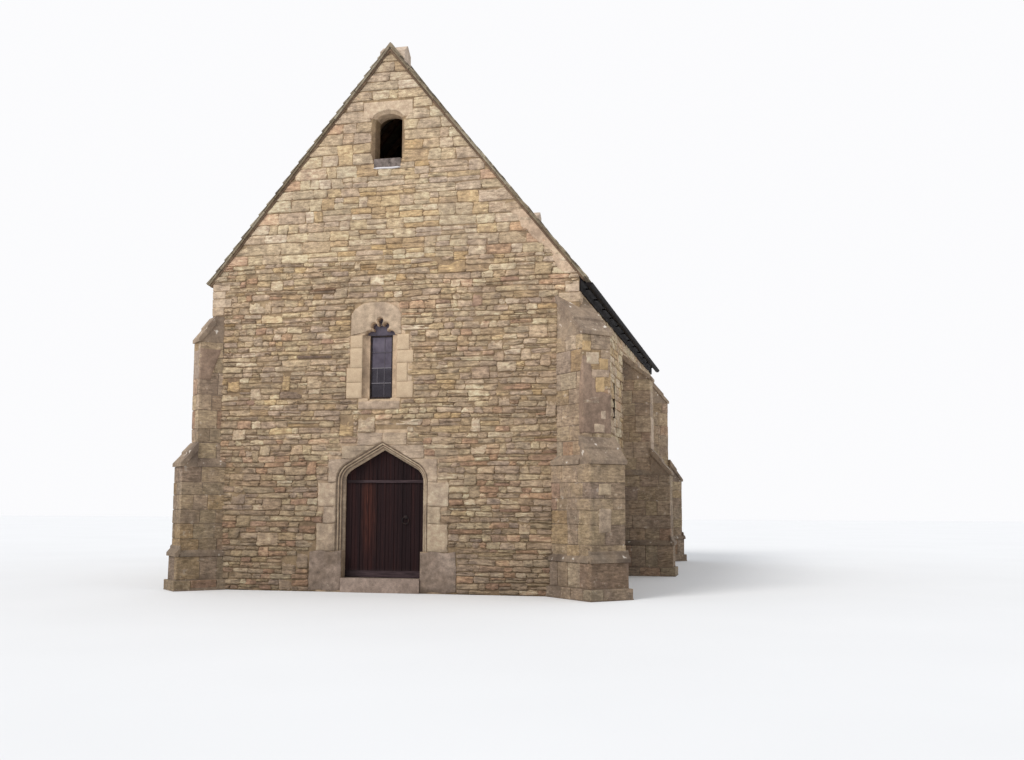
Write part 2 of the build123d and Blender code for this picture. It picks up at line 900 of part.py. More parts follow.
def rafter(hand, y):
    """One rafter under a slope, cut level on its plate and plumb at the ridge."""
    depth = rafter_depth * run_per_thickness
    seat = plate_top(hand)
    tail = ridge_shift + hand * (gable_apex - seat) / rise
    heel = ridge_shift + hand * (gable_apex - depth - seat) / rise
    with BuildPart() as timber:
        with BuildSketch(Plane.XZ.offset(-y - rafter_width / 2)):
            with BuildLine():
                Polyline(
                    (ridge_shift, gable_apex),
                    (tail, seat),
                    (heel, seat),
                    (ridge_shift, gable_apex - depth),
                    (ridge_shift, gable_apex),
                )
            make_face()
        extrude(amount=rafter_width)
    return timber.part


rafter_count = int(2 * (inner_y - rafter_width) // rafter_pitch) + 1
rafter_start = -(rafter_count - 1) * rafter_pitch / 2
with BuildPart() as rafters:
    for number in range(rafter_count):
        for hand in (LEFT, RIGHT):
            add(rafter(hand, rafter_start + number * rafter_pitch))
save(rafters.part, "rafters")

with BuildPart() as wall_plates:
    for hand in (LEFT, RIGHT):
        outer = hand * (half_width - wall_head_slope_width - plate_height / rise - plate_clearance)
        box_between(outer, outer - hand * plate_width, -inner_y, inner_y,
                    plate_top(hand) - plate_height, plate_top(hand))
save(wall_plates.part, "wall_plates")

# Gutters, brackets and eaves boards


def gutter_line(hand):
    """Plan position and rim level of the gutter on one side."""
    x = hand * (half_width + gutter_offset)
    return x, roof_under(hand * half_width) - gutter_drop


def eaves_start(hand):
    """Where the gutter and the eaves board begin behind the front face."""
    return front_face if hand == RIGHT else front_face + left_eaves_setback


with BuildPart() as gutters:
    for hand in (LEFT, RIGHT):
        x, rim = gutter_line(hand)
        length = half_length + gutter_reach - eaves_start(hand)
        with BuildSketch(Plane(origin=(x, eaves_start(hand), rim), x_dir=(-1, 0, 0), z_dir=(0, 1, 0))):
            Circle(gutter_radius)
            Circle(gutter_radius - gutter_wall, mode=Mode.SUBTRACT)
            with Locations((0, gutter_radius / 2)):
                Rectangle(2 * gutter_radius, gutter_radius, mode=Mode.SUBTRACT)
        extrude(amount=length)
        for y in (eaves_start(hand), eaves_start(hand) + length - gutter_wall):
            with BuildSketch(Plane(origin=(x, y, rim), x_dir=(-1, 0, 0), z_dir=(0, 1, 0))):
                Circle(gutter_radius)
                with Locations((0, gutter_radius / 2)):
                    Rectangle(2 * gutter_radius, gutter_radius, mode=Mode.SUBTRACT)
            extrude(amount=gutter_wall)
save(gutters.part, "gutters")

with BuildPart() as eaves_boards:
    for hand in (LEFT, RIGHT):
        face = hand * half_width
        top = roof_under(face + hand * board_thickness) - board_gap
        box_between(face, face + hand * board_thickness, eaves_start(hand), half_length,
                    top - board_height, top)
save(eaves_boards.part, "eaves_boards")

with BuildPart() as gutter_brackets:
    for hand in (LEFT, RIGHT):
        x, rim = gutter_line(hand)
        span = half_length - eaves_start(hand)
        count = int(span // bracket_pitch)
        for number in range(count):
            y = eaves_start(hand) + (number + 0.5) * span / count
            outer = x - hand * (gutter_radius + bracket_gap)
            board = hand * (half_width + board_thickness)
            box_between(board, outer, y - bracket_thickness / 2, y + bracket_thickness / 2,
                        rim - bracket_height, rim)
save(gutter_brackets.part, "gutter_brackets")

# Door leaf, closed against the back of its frame

leaf_front = back_of_dressing + leaf_frame_gap
leaf_back = leaf_front + leaf_thickness
leaf_foot = threshold_top + leaf_floor_gap
leaf_half_width = door_half_width + leaf_overlap
hinge_x = door_x - leaf_half_width - knuckle_gap - knuckle_radius
hinge_y = leaf_back + strap_thickness / 2

with BuildPart() as door_leaf:
    with BuildSketch(wall_plane("front", leaf_front - front_face, door_x)):
        add(door_outline(leaf_overlap, leaf_foot))
    extrude(amount=-leaf_thickness)
save(door_leaf.part, "door_leaf")

top_rail_top = top_rail_level + rail_height / 2
bottom_rail_top = leaf_foot + bottom_rail_height
sight_plane = wall_plane("front", leaf_front - front_face, door_x)

with BuildPart() as door_rails:
    with BuildSketch(sight_plane):
        with Locations((0, top_rail_level)):
            Rectangle(2 * (door_half_width - fillet_margin), rail_height)
        with Locations((0, (leaf_foot + bottom_rail_top) / 2)):
            Rectangle(2 * (door_half_width - fillet_margin), bottom_rail_top - leaf_foot)
    extrude(amount=rail_thickness)
save(door_rails.part, "door_rails")

with BuildPart() as door_fillets:
    with BuildSketch(sight_plane):
        for number in range(-fillets_each_side, fillets_each_side + 1):
            x = number * fillet_pitch
            with Locations((x, (bottom_rail_top + top_rail_top - rail_height) / 2)):
                Rectangle(fillet_width, top_rail_top - rail_height - bottom_rail_top)
            crown = door_apex - (abs(x) + fillet_width / 2) * door_slope - fillet_margin
            if crown - top_rail_top > 2 * rail_height:
                with Locations((x, (top_rail_top + crown) / 2)):
                    Rectangle(fillet_width, crown - top_rail_top)
    extrude(amount=fillet_thickness)
save(door_fillets.part, "door_fillets")

with BuildPart() as door_straps:
    for level in (lower_strap_level, upper_strap_level):
        start = hinge_x
        box_between(start, start + strap_length, leaf_back, leaf_back + strap_thickness,
                    level - strap_width / 2, level + strap_width / 2)
        with Locations((hinge_x, hinge_y, level)):
            Cylinder(knuckle_radius, strap_width)
            Cylinder(pin_radius + pin_running_gap, strap_width, mode=Mode.SUBTRACT)
save(door_straps.part, "door_straps")

with BuildPart() as door_pintles:
    reveal = door_x - rear_half_width
    for level in (lower_strap_level, upper_strap_level):
        foot = level - strap_width / 2 - leaf_frame_gap - pin_arm_height
        with Locations((hinge_x, hinge_y, foot)):
            Cylinder(pin_radius, level + strap_width / 2 + pin_rise - foot,
                     align=(Align.CENTER, Align.CENTER, Align.MIN))
            Cylinder(knuckle_radius, pin_arm_height, align=(Align.CENTER, Align.CENTER, Align.MIN))
        box_between(reveal, hinge_x, hinge_y - pin_radius, hinge_y + pin_radius, foot, foot + pin_arm_height)
save(door_pintles.part, "door_pintles")

with BuildPart() as door_ring:
    ring_x = door_x + ring_board * fillet_pitch
    rose = Plane(origin=(ring_x, leaf_front, ring_level), x_dir=(1, 0, 0), z_dir=(0, -1, 0))
    with BuildSketch(rose):
        Circle(ring_rose_radius)
    extrude(amount=ring_rose_thickness + ring_wire)
    hang = rose.offset(ring_rose_thickness + ring_wire)
    with Locations(Plane(origin=hang.origin - Vector(0, 0, ring_radius), x_dir=(1, 0, 0), z_dir=(0, -1, 0))):
        Torus(ring_radius, ring_wire)
save(door_ring.part, "door_ring")
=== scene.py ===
# %% [markdown]
# # A small stone chapel
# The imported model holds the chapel's true shapes: hollow walls, cut openings, moulded door frame,
# buttresses, roof, gutters and a hinged door. This lesson dresses that model. The masonry is laid stone by
# stone with numpy, the roof gets its tiles, the door its boards, and every surface gets a material made of
# nodes.

import bpy
import numpy as np
from mathutils import Euler, Matrix


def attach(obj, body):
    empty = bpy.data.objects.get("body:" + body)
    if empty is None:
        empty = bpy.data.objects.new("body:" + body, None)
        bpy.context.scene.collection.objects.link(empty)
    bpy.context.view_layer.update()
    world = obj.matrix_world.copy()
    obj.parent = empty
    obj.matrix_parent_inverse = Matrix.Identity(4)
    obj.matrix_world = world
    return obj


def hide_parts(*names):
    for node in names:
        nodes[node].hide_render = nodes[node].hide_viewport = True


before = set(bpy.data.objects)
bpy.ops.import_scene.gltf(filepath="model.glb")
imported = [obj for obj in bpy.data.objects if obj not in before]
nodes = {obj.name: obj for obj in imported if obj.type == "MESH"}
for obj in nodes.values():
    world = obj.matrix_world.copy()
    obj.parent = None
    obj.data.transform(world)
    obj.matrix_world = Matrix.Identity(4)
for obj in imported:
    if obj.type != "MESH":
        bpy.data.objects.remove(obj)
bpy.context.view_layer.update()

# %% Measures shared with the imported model, in metres
half_width, half_length = 3.1, 5.6
eaves_level, ridge_shift, pitch = 4.944, -0.05, np.radians(51.2)
slope = np.tan(pitch)
gable_apex = eaves_level + (half_width - ridge_shift) * slope
left_eaves = gable_apex - (half_width + ridge_shift) * slope
door_x, lancet_x, opening_x = -0.08, -0.146, -0.07
# the doorway: half its width, the level where the arch starts, its point and the radius of its haunches
door_half, door_spring, door_top, haunch = 0.65, 1.87, 2.24, 0.225
# distance of the side lancets from the middle of their wall
bay = 2.8
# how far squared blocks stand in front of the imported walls
proud = 0.011
print("gable apex", round(gable_apex, 3), "m")

# %% [markdown]
# ## Camera and light
# The photograph was taken from the right of the entrance, low down, with a lens a little longer than a wide
# one. A camera at that place, turned by the same angles, gives the same picture, so every later step can be
# compared with it. The light is plain: a pale world from all round and one broad soft sun from the upper
# left, as on a bright cloudy day.

# %% Camera
camera_data = bpy.data.cameras.new("camera")
camera_data.sensor_width = 36.0
focal_pixels, picture_pixels = 1100.0, 1024.0
camera_data.lens = focal_pixels / picture_pixels * camera_data.sensor_width
camera_data.clip_end = 300.0
camera = bpy.data.objects.new("camera", camera_data)
turn = Euler((0, 0, np.radians(12.7795))).to_matrix()
turn = turn @ Euler((np.radians(96.4929), 0, 0)).to_matrix() @ Euler((0, 0, np.radians(0.184))).to_matrix()
camera.matrix_world = Matrix.Translation((5.7985, -22.2033, 1.3695)) @ turn.to_4x4()
bpy.context.scene.collection.objects.link(camera)
bpy.context.scene.camera = camera
print("camera lens", round(camera_data.lens, 2), "mm")

# %% Lights, world and floor
scene = bpy.context.scene
scene.view_settings.view_transform = "Standard"
world = bpy.data.worlds.new("pale_sky")
scene.world = world
world.use_nodes = True
sky_nodes, sky_links = world.node_tree.nodes, world.node_tree.links
sky_nodes.clear()
sky_out = sky_nodes.new("ShaderNodeOutputWorld")
sky_light = sky_nodes.new("ShaderNodeBackground")
sky_seen = sky_nodes.new("ShaderNodeBackground")
sky_mix = sky_nodes.new("ShaderNodeMixShader")
sky_path = sky_nodes.new("ShaderNodeLightPath")
sky_or = sky_nodes.new("ShaderNodeMath")
sky_or.operation = "MAXIMUM"
sky_light.inputs["Color"].default_value = (0.93, 0.96, 1.0, 1)
sky_light.inputs["Strength"].default_value = 0.92
sky_seen.inputs["Color"].default_value = (0.97, 0.97, 0.985, 1)
sky_seen.inputs["Strength"].default_value = 1.0
sky_links.new(sky_path.outputs["Is Camera Ray"], sky_or.inputs[0])
sky_links.new(sky_path.outputs["Is Glossy Ray"], sky_or.inputs[1])
sky_links.new(sky_or.outputs[0], sky_mix.inputs[0])
sky_links.new(sky_light.outputs[0], sky_mix.inputs[1])
sky_links.new(sky_seen.outputs[0], sky_mix.inputs[2])
sky_links.new(sky_mix.outputs[0], sky_out.inputs["Surface"])

sun_data = bpy.data.lights.new("soft_sun", "SUN")
sun_data.energy = 1.75
sun_data.angle = np.radians(24)
sun_data.color = (1.0, 0.975, 0.94)
sun = bpy.data.objects.new("soft_sun", sun_data)
sun.rotation_euler = (np.radians(46), 0, np.radians(-33))
scene.collection.objects.link(sun)


def surface(name, points, quads=None, tris=None, stone=None, smooth=True):
    """Puts numpy points and faces into a mesh object; stone holds four numbers a point for the materials to
    read.
    """
    quads = np.zeros((0, 4), int) if quads is None else np.asarray(quads, int).reshape(-1, 4)
    tris = np.zeros((0, 3), int) if tris is None else np.asarray(tris, int).reshape(-1, 3)
    corners = np.concatenate([quads.ravel(), tris.ravel()])
    sizes = np.concatenate([np.full(len(quads), 4), np.full(len(tris), 3)])
    mesh = bpy.data.meshes.new(name)
    mesh.vertices.add(len(points))
    mesh.vertices.foreach_set("co", np.asarray(points, np.float32).ravel())
    mesh.loops.add(len(corners))
    mesh.loops.foreach_set("vertex_index", corners.astype(np.int32))
    mesh.polygons.add(len(sizes))
    mesh.polygons.foreach_set("loop_start", np.concatenate([[0], np.cumsum(sizes)[:-1]]).astype(np.int32))
    mesh.polygons.foreach_set("use_smooth", np.full(len(sizes), smooth))
    mesh.update(calc_edges=True)
    mesh.validate()
    if stone is not None:
        layer = mesh.attributes.new("stone", "FLOAT_COLOR", "POINT")
        layer.data.foreach_set("color", np.asarray(stone, np.float32).ravel())
    piece = bpy.data.objects.new(name, mesh)
    scene.collection.objects.link(piece)
    return piece


floor_reach = 90.0
floor = surface(
    "studio_floor",
    np.array([(-1, -1, 0), (1, -1, 0), (1, 1, 0), (-1, 1, 0)]) * floor_reach + np.array((0, 0, -0.002)),
    [(0, 1, 2, 3)],
)
print("sun strength", sun_data.energy, "floor", 2 * floor_reach, "m")

# %% [markdown]
# ## Materials
# Weathered stone has three scales of colour: each stone differs from its neighbours, patches of damp and
# lichen run over many stones, and fine grain covers all. The first comes from the "stone" attribute that
# the mesh code writes for each stone, the others from noise on object coordinates. One helper chains these
# steps, so that each finish below only lists its colours and scales.

# %% Material helpers


def tint(value):
    """Linear colour from the 0-255 numbers that a colour picker shows; anything but such a triple stays as
    it is.
    """
    if np.isscalar(value) or len(value) != 3:
        return value
    level = np.asarray(value, float) / 255
    linear = np.where(level <= 0.04045, level / 12.92, ((level + 0.055) / 1.055) ** 2.4)
    return (*linear, 1.0)


class Finish:
    """A material under construction, with short ways to add the nodes that every finish here needs."""

    def __init__(self, name, roughness=0.9, metallic=0.0, specular=0.35):
        self.material = bpy.data.materials.new(name)
        self.material.use_nodes = True
        self.tree = self.material.node_tree
        self.shader = self.tree.nodes["Principled BSDF"]
        self.shader.inputs["Roughness"].default_value = roughness
        self.shader.inputs["Metallic"].default_value = metallic
        self.shader.inputs["Specular IOR Level"].default_value = specular
        self.place = self.node("ShaderNodeTexCoord").outputs["Object"]

    def node(self, kind, **settings):
        made = self.tree.nodes.new(kind)
        for key, value in settings.items():
            setattr(made, key, value)
        return made

    def link(self, source, target):
        self.tree.links.new(source, target)

    def stretched(self, scale):
        """Object coordinates multiplied by a scale along x, y and z."""
        mapping = self.node("ShaderNodeMapping")
        mapping.inputs["Scale"].default_value = scale
        self.link(self.place, mapping.inputs["Vector"])
        return mapping.outputs["Vector"]

    def noise(self, scale, detail=4.0, rough=0.55, vector=None, warp=0.0):
        """A cloud pattern between 0 and 1."""
        made = self.node("ShaderNodeTexNoise")
        made.inputs["Scale"].default_value = scale
        made.inputs["Detail"].default_value = detail
        made.inputs["Roughness"].default_value = rough
        made.inputs["Distortion"].default_value = warp
        self.link(vector or self.place, made.inputs["Vector"])
        return made.outputs["Fac"]

    def ramp(self, source, stops):
        """Colours or levels along a value: stops are (position, picker colour, linear colour or level)."""
        made = self.node("ShaderNodeValToRGB")
        bands = made.color_ramp.elements
        while len(bands) < len(stops):
            bands.new(0.5)
        for band, (position, colour) in zip(bands, stops):
            band.position = position
            band.color = (colour, colour, colour, 1) if np.isscalar(colour) else tint(colour)
        self.link(source, made.inputs["Fac"])
        return made.outputs["Color"]

    def mix(self, factor, first, second, blend="MIX"):
        """Two colours mixed by a factor; each may be a socket, a picker colour or a plain value."""
        made = self.node("ShaderNodeMix", data_type="RGBA", blend_type=blend)
        for socket, value in ((made.inputs[0], factor), (made.inputs[6], first), (made.inputs[7], second)):
            if isinstance(value, bpy.types.NodeSocket):
                self.link(value, socket)
            else:
                socket.default_value = tint(value)
        return made.outputs[2]

    def math(self, operation, first, second=None):
        """One sum on numbers or sockets."""
        made = self.node("ShaderNodeMath", operation=operation)
        for socket, value in zip(made.inputs, (first, second)):
            if isinstance(value, bpy.types.NodeSocket):
                self.link(value, socket)
            elif value is not None:
                socket.default_value = value
        return made.outputs[0]

    def axis(self, name):
        """One of the object coordinates, in metres."""
        made = self.node("ShaderNodeSeparateXYZ")
        self.link(self.place, made.inputs[0])
        return made.outputs[name]

    def stone(self, part):
        """One channel of the stone attribute: 0 tone, 1 hue, 2 wear."""
        made = self.node("ShaderNodeAttribute", attribute_name="stone", attribute_type="GEOMETRY")
        split = self.node("ShaderNodeSeparateColor")
        self.link(made.outputs["Color"], split.inputs[0])
        return split.outputs[part]

    def bump(self, height, distance, strength=1.0):
        """Adds a layer of relief under the last one; distance is in metres."""
        made = self.node("ShaderNodeBump")
        made.inputs["Distance"].default_value = distance
        made.inputs["Strength"].default_value = strength
        self.link(height, made.inputs["Height"])
        normal = self.shader.inputs["Normal"]
        if normal.is_linked:
            self.link(normal.links[0].from_socket, made.inputs["Normal"])
        self.link(made.outputs["Normal"], normal)

    def colour(self, source):
        self.link(source, self.shader.inputs["Base Color"])


# %% Masonry finishes
# painted shade: the walls darken towards the foot of the building; positions are heights in tens of metres
foot_shade = [(0.0, 0.56), (0.10, 0.66), (0.27, 0.87), (0.45, 1.0)]
warm = (1.0, 0.957, 0.893, 1.0)


def masonry(name, palette, patch=0.35, lichen=0.25, grain=0.004, from_stones=True, streak=0.0, upper=None,
            spots=0.0, mottling=0.75):
    """Weathered stone: palette by stone, large damp patches, lichen freckles, fine grain and pitted relief.

    upper is a second palette, mixed in by the stone's own share of it; spots are round white patches of
    lichen; mottling is how strongly light and dark clouds a hand wide show within a stone.
    """
    finish = Finish(name, roughness=0.93, specular=0.2)
    cloud = finish.noise(0.55, 3.0, 0.6)
    if from_stones:
        pick = finish.math("ADD", finish.stone(0),
                           finish.math("MULTIPLY", finish.math("SUBTRACT", cloud, 0.5), 0.55))
    else:
        pick = finish.noise(1.7, 2.0, 0.5)
    span, first = (1.0, 0.0) if from_stones else (0.5, 0.25)
    body = finish.ramp(pick, [(span * i / (len(palette) - 1) + first, c) for i, c in enumerate(palette)])
    if upper:
        above = finish.ramp(pick, [(i / (len(upper) - 1), c) for i, c in enumerate(upper)])
        body = finish.mix(finish.stone(2), body, above)
    mottle = finish.noise(11.0, 5.0, 0.68)
    if streak:
        bedding = finish.noise(1.0, 5.0, 0.7, vector=finish.stretched((9.0, 9.0, 34.0)))
        body = finish.mix(streak, body, finish.ramp(bedding, [(0.30, 0.18), (0.5, 0.5), (0.68, 0.82)]),
                          "OVERLAY")
        finish.bump(bedding, 0.030 * streak, 0.8)
        violet = finish.ramp(finish.noise(2.6, 4.0, 0.7), [(0.48, 0.0), (0.66, 0.55)])
        body = finish.mix(violet, body, (152, 134, 124))
        shift = finish.ramp(finish.stone(1), [
            (0.0, (198, 146, 124)), (0.08, (180, 158, 139)), (0.26, (166, 152, 144)), (0.45, (178, 160, 140)),
            (0.70, (170, 161, 139)), (0.86, (182, 162, 130)), (1.0, (208, 171, 112))])
        body = finish.mix(0.36, body, shift, "COLOR")
        # painted shadow: short dark dashes along the beds, where shadow lies under the stones' edges
        painted_shadow_dashes = finish.ramp(finish.noise(1.0, 4.0, 0.62, vector=finish.stretched((5.5, 5.5, 24.0))),
                             [(0.60, 0.0), (0.69, 0.75 * streak)])
        body = finish.mix(painted_shadow_dashes, body, (106, 86, 71))
    body = finish.mix(mottling, body, finish.ramp(mottle, [(0.28, 0.30), (0.5, 0.52), (0.72, 0.78)]),
                      "OVERLAY")
    speck = finish.noise(70.0, 3.0, 0.7)
    body = finish.mix(0.5, body, finish.ramp(speck, [(0.3, 0.33), (0.7, 0.69)]), "OVERLAY")
    damp = finish.ramp(finish.noise(1.1, 5.0, 0.65, warp=0.6), [(0.50, 0.0), (0.74, 1.0)])
    body = finish.mix(finish.math("MULTIPLY", damp, patch), body, (112, 96, 84))
    freckle = finish.ramp(finish.noise(26.0, 4.0, 0.75), [(0.60, 0.0), (0.66, 1.0)])
    spread = finish.ramp(finish.noise(1.9, 3.0, 0.6), [(0.45, 0.0), (0.65, 1.0)])
    freckled = finish.math("MULTIPLY", finish.math("MULTIPLY", freckle, spread), lichen)
    body = finish.mix(freckled, body, (214, 204, 184))
    if spots:
        round_spot = finish.ramp(finish.noise(11.0, 2.0, 0.45), [(0.675, 0.0), (0.71, 1.0)])
        body = finish.mix(finish.math("MULTIPLY", round_spot, spots), body, (226, 220, 212))
    # painted shade: darker towards the foot of the building
    body = finish.mix(1.0, body, finish.ramp(finish.math("MULTIPLY", finish.axis("Z"), 0.1), foot_shade),
                      "MULTIPLY")
    finish.colour(finish.mix(1.0, body, warm, "MULTIPLY"))
    finish.bump(mottle, grain * 2.2, 0.8)
    finish.bump(finish.noise(42.0, 6.0, 0.72), grain, 0.9)
    return finish


rubble_palette = (
    (124, 104, 90), (150, 128, 106), (163, 141, 115), (172, 149, 122), (168, 147, 128), (181, 158, 128),
    (188, 166, 137), (206, 188, 160),
)
squared_palette = (
    (160, 140, 119), (177, 155, 128), (188, 165, 133), (181, 162, 142), (191, 171, 143), (200, 183, 158),
)
rubble = masonry("rubble_stone", rubble_palette, patch=0.3, streak=0.8, upper=squared_palette)
squared = masonry("squared_stone", squared_palette, patch=0.25, streak=0.45)
dressed = masonry("dressed_stone", ((156, 137, 118), (180, 158, 136), (194, 172, 148), (188, 170, 150)),
                  patch=0.4, lichen=0.35, grain=0.0018, from_stones=False)
dressed_face = masonry("dressed_face_stone",
                       ((116, 103, 94), (146, 129, 114), (168, 149, 133), (184, 165, 145), (198, 178, 156),
                        (209, 194, 175)),
                       patch=0.45, lichen=0.5, grain=0.0025, streak=0.22)
clean_face = masonry("renewed_stone", ((160, 140, 117), (178, 158, 134), (192, 171, 146), (199, 179, 155)),
                     patch=0.12, lichen=0.12, grain=0.0012, mottling=0.28)
foot_stone = masonry("worn_foot_stone", ((108, 94, 86), (140, 124, 112), (164, 147, 136), (184, 168, 156)),
                     patch=0.5, lichen=0.6, grain=0.006, from_stones=False, mottling=1.0)
yellow_face = masonry("yellow_lichen_stone", ((158, 135, 103), (182, 156, 120), (198, 173, 137)),
                      patch=0.35, lichen=0.5, grain=0.002, from_stones=False)
step_stone = masonry("step_stone", ((150, 133, 124), (176, 158, 148), (190, 174, 164)), patch=0.4,
                     lichen=0.3, grain=0.002, from_stones=False)
buttress_stone = masonry("buttress_stone",
                         ((136, 116, 101), (150, 130, 111), (166, 144, 118), (176, 153, 124),
                          (158, 140, 124), (178, 160, 138)),
                         patch=0.6, lichen=0.7, streak=0.7, spots=0.25)
buttress_core = masonry("buttress_weathering",
                        ((112, 99, 90), (138, 123, 110), (156, 139, 122), (140, 128, 116)),
                        patch=0.6, lichen=0.9, grain=0.003, from_stones=False, spots=0.9)
mortar = masonry("lime_mortar", ((124, 105, 87), (147, 127, 103), (162, 142, 116)), patch=0.4, lichen=0.15,
                 grain=0.0025, from_stones=False)
roof_stone = masonry("roof_tile_stone",
                     ((84, 78, 70), (112, 104, 92), (136, 128, 112), (120, 108, 90), (156, 148, 132)),
                     patch=0.45, lichen=0.8, grain=0.0022)
roof_plain = masonry("roof_bed", ((92, 84, 74), (116, 106, 92), (130, 120, 104)), patch=0.4, lichen=0.4,
                     grain=0.002, from_stones=False)
print("masonry finishes made:", len(bpy.data.materials))

# %% Other finishes
oak = Finish("door_oak", roughness=0.75, specular=0.12)
grain = oak.noise(9.0, 6.0, 0.6, vector=oak.stretched((9.0, 9.0, 0.35)), warp=0.4)
tone = oak.noise(3.3, 2.0, 0.5, vector=oak.stretched((2.3, 1.0, 0.08)))
wood = oak.ramp(grain, [(0.25, (15, 9, 11)), (0.55, (34, 20, 20)), (0.8, (62, 36, 30))])
wood = oak.mix(0.5, wood, oak.ramp(tone, [(0.3, (21, 13, 16)), (0.50, (36, 22, 24)), (0.68, (58, 30, 28))]))
across = oak.math("ADD", oak.axis("X"), 0.75)
# painted light: a reddish lit patch between the left jamb's shadow and the arch's shadow; left of it and
# above it the door stays dark as painted shade
edges = oak.math("ADD", across, oak.math("MULTIPLY", oak.noise(1.6, 3.0, 0.6), 0.12))
worn_and_lit = oak.ramp(edges, [(0.34, 0.0), (0.42, 0.60), (0.50, 0.50), (0.62, 0.0)])
height = oak.ramp(oak.math("MULTIPLY", oak.axis("Z"), 0.4),
                  [(0.20, 0.15), (0.48, 1.0), (0.64, 1.0), (0.72, 0.2)])
worn_and_lit = oak.math("MULTIPLY", worn_and_lit, height)
wood = oak.mix(worn_and_lit, wood, oak.ramp(grain, [(0.35, (38, 22, 20)), (0.62, (92, 50, 38)),
                                            (0.75, (120, 76, 56))]))
rising = oak.ramp(oak.math("MULTIPLY", oak.axis("Z"), 0.4), [(0.09, 0.75), (0.15, 0.0)])
oak.colour(oak.mix(rising, wood, (62, 50, 50)))
oak.bump(grain, 0.0016)

# painted highlight: the rails' paler colour is partly their own and partly painted highlight where light
# catches their edges; the ramp across x paints the left jamb's shadow on them
rail_oak_and_highlight = Finish("rail_oak_with_painted_highlight", roughness=0.8, specular=0.1)
grain = rail_oak_and_highlight.noise(9.0, 6.0, 0.6, vector=rail_oak_and_highlight.stretched((0.6, 9.0, 9.0)), warp=0.3)
rail = rail_oak_and_highlight.ramp(grain, [(0.3, (38, 29, 31)), (0.7, (78, 64, 66))])
shaded = rail_oak_and_highlight.ramp(rail_oak_and_highlight.math("ADD", rail_oak_and_highlight.axis("X"), 0.75), [(0.20, 0.45), (0.38, 1.0)])
rail_oak_and_highlight.colour(rail_oak_and_highlight.mix(1.0, rail, shaded, "MULTIPLY"))
rail_oak_and_highlight.bump(grain, 0.0012)

old_oak = Finish("roof_oak", roughness=0.8, specular=0.2)
grain = old_oak.noise(7.0, 6.0, 0.62, vector=old_oak.stretched((1.2, 9.0, 1.2)), warp=0.3)
old_oak.colour(old_oak.ramp(grain, [(0.2, (74, 54, 40)), (0.6, (112, 84, 60)), (0.85, (140, 108, 80))]))
old_oak.bump(grain, 0.002)

iron = Finish("wrought_iron", roughness=0.55, metallic=0.7, specular=0.4)
rust = iron.ramp(iron.noise(38.0, 5.0, 0.7), [(0.45, (34, 32, 34)), (0.72, (70, 48, 38))])
iron.colour(rust)
iron.bump(iron.noise(120.0, 3.0, 0.6), 0.0006)

black = Finish("black_gutter_paint", roughness=0.7, specular=0.12)
black.colour(black.ramp(black.noise(14.0, 5.0, 0.7), [(0.35, (13, 10, 11)), (0.75, (29, 23, 23))]))
black.bump(black.noise(60.0, 3.0, 0.6), 0.0008)

glass = Finish("old_window_glass", roughness=0.2, specular=0.3)
wave = glass.noise(7.0, 3.0, 0.6)
panes = glass.ramp(wave, [(0.3, (78, 70, 82)), (0.7, (104, 96, 108))])
height = glass.ramp(glass.math("MULTIPLY", glass.axis("Z"), 0.2),
                    [(0.61, 0.26), (0.705, 0.34), (0.715, 0.85), (0.82, 1.0)])
glass.colour(glass.mix(1.0, panes, height, "MULTIPLY"))
glass.shader.inputs["Alpha"].default_value = 0.92
glass.bump(glass.noise(9.0, 2.0, 0.5), 0.004)

lead = Finish("lead_sheet", roughness=0.5, metallic=0.5, specular=0.4)
lead.colour(lead.ramp(lead.noise(16.0, 4.0, 0.65), [(0.3, (58, 50, 47)), (0.7, (128, 116, 110))]))
lead.bump(lead.noise(12.0, 4.0, 0.6), 0.004)

pale_lead = Finish("weathered_lead", roughness=0.6, metallic=0.2, specular=0.4)
level = pale_lead.math("ADD", pale_lead.stone(0),
                       pale_lead.math("MULTIPLY", pale_lead.noise(21.0, 4.0, 0.65), 0.25))
pale_lead.colour(pale_lead.ramp(level, [(0.25, (92, 86, 92)), (0.7, (150, 145, 150)),
                                        (1.1, (206, 202, 204))]))
pale_lead.bump(pale_lead.noise(30.0, 3.0, 0.6), 0.001)

paving = masonry("paving_stone", ((128, 116, 98), (150, 136, 114), (166, 152, 128), (142, 128, 108)),
                 patch=0.3, lichen=0.1, grain=0.0015)
plain_paving = masonry("paving_bed", ((138, 124, 104), (158, 142, 118), (170, 154, 130)), patch=0.3,
                       lichen=0.1, grain=0.0015, from_stones=False)
cement = masonry("cement_patch", ((130, 111, 99), (144, 124, 110), (158, 137, 122)), patch=0.35, lichen=0.1,
                 grain=0.0012, from_stones=False)
# painted shade: the mortar under the verge slabs has its own colour darkened for the shade under the slabs
bed = masonry("verge_mortar_and_shade", ((88, 74, 63), (112, 93, 78), (126, 108, 91)), patch=0.3, lichen=0.1,
              grain=0.002, from_stones=False)
old_mortar = masonry("old_smeared_mortar", ((170, 149, 131), (190, 168, 148), (202, 182, 161)), patch=0.25,
                     lichen=0.2, grain=0.003, from_stones=False)
saddle_stone = masonry("ridge_stone", ((134, 121, 110), (168, 153, 140), (190, 175, 162)), patch=0.3,
                       lichen=0.5, grain=0.002, from_stones=False)

# a dark strip for the thin dark line on the right wall beside the near buttress
dark_strip = Finish("open_joint", roughness=0.95, specular=0.05)
dark_strip.colour(dark_strip.ramp(dark_strip.noise(20.0, 4.0, 0.6),
                                  [(0.3, (30, 24, 21)), (0.7, (62, 50, 43))]))
dark_strip.bump(dark_strip.noise(30.0, 4.0, 0.7), 0.004)

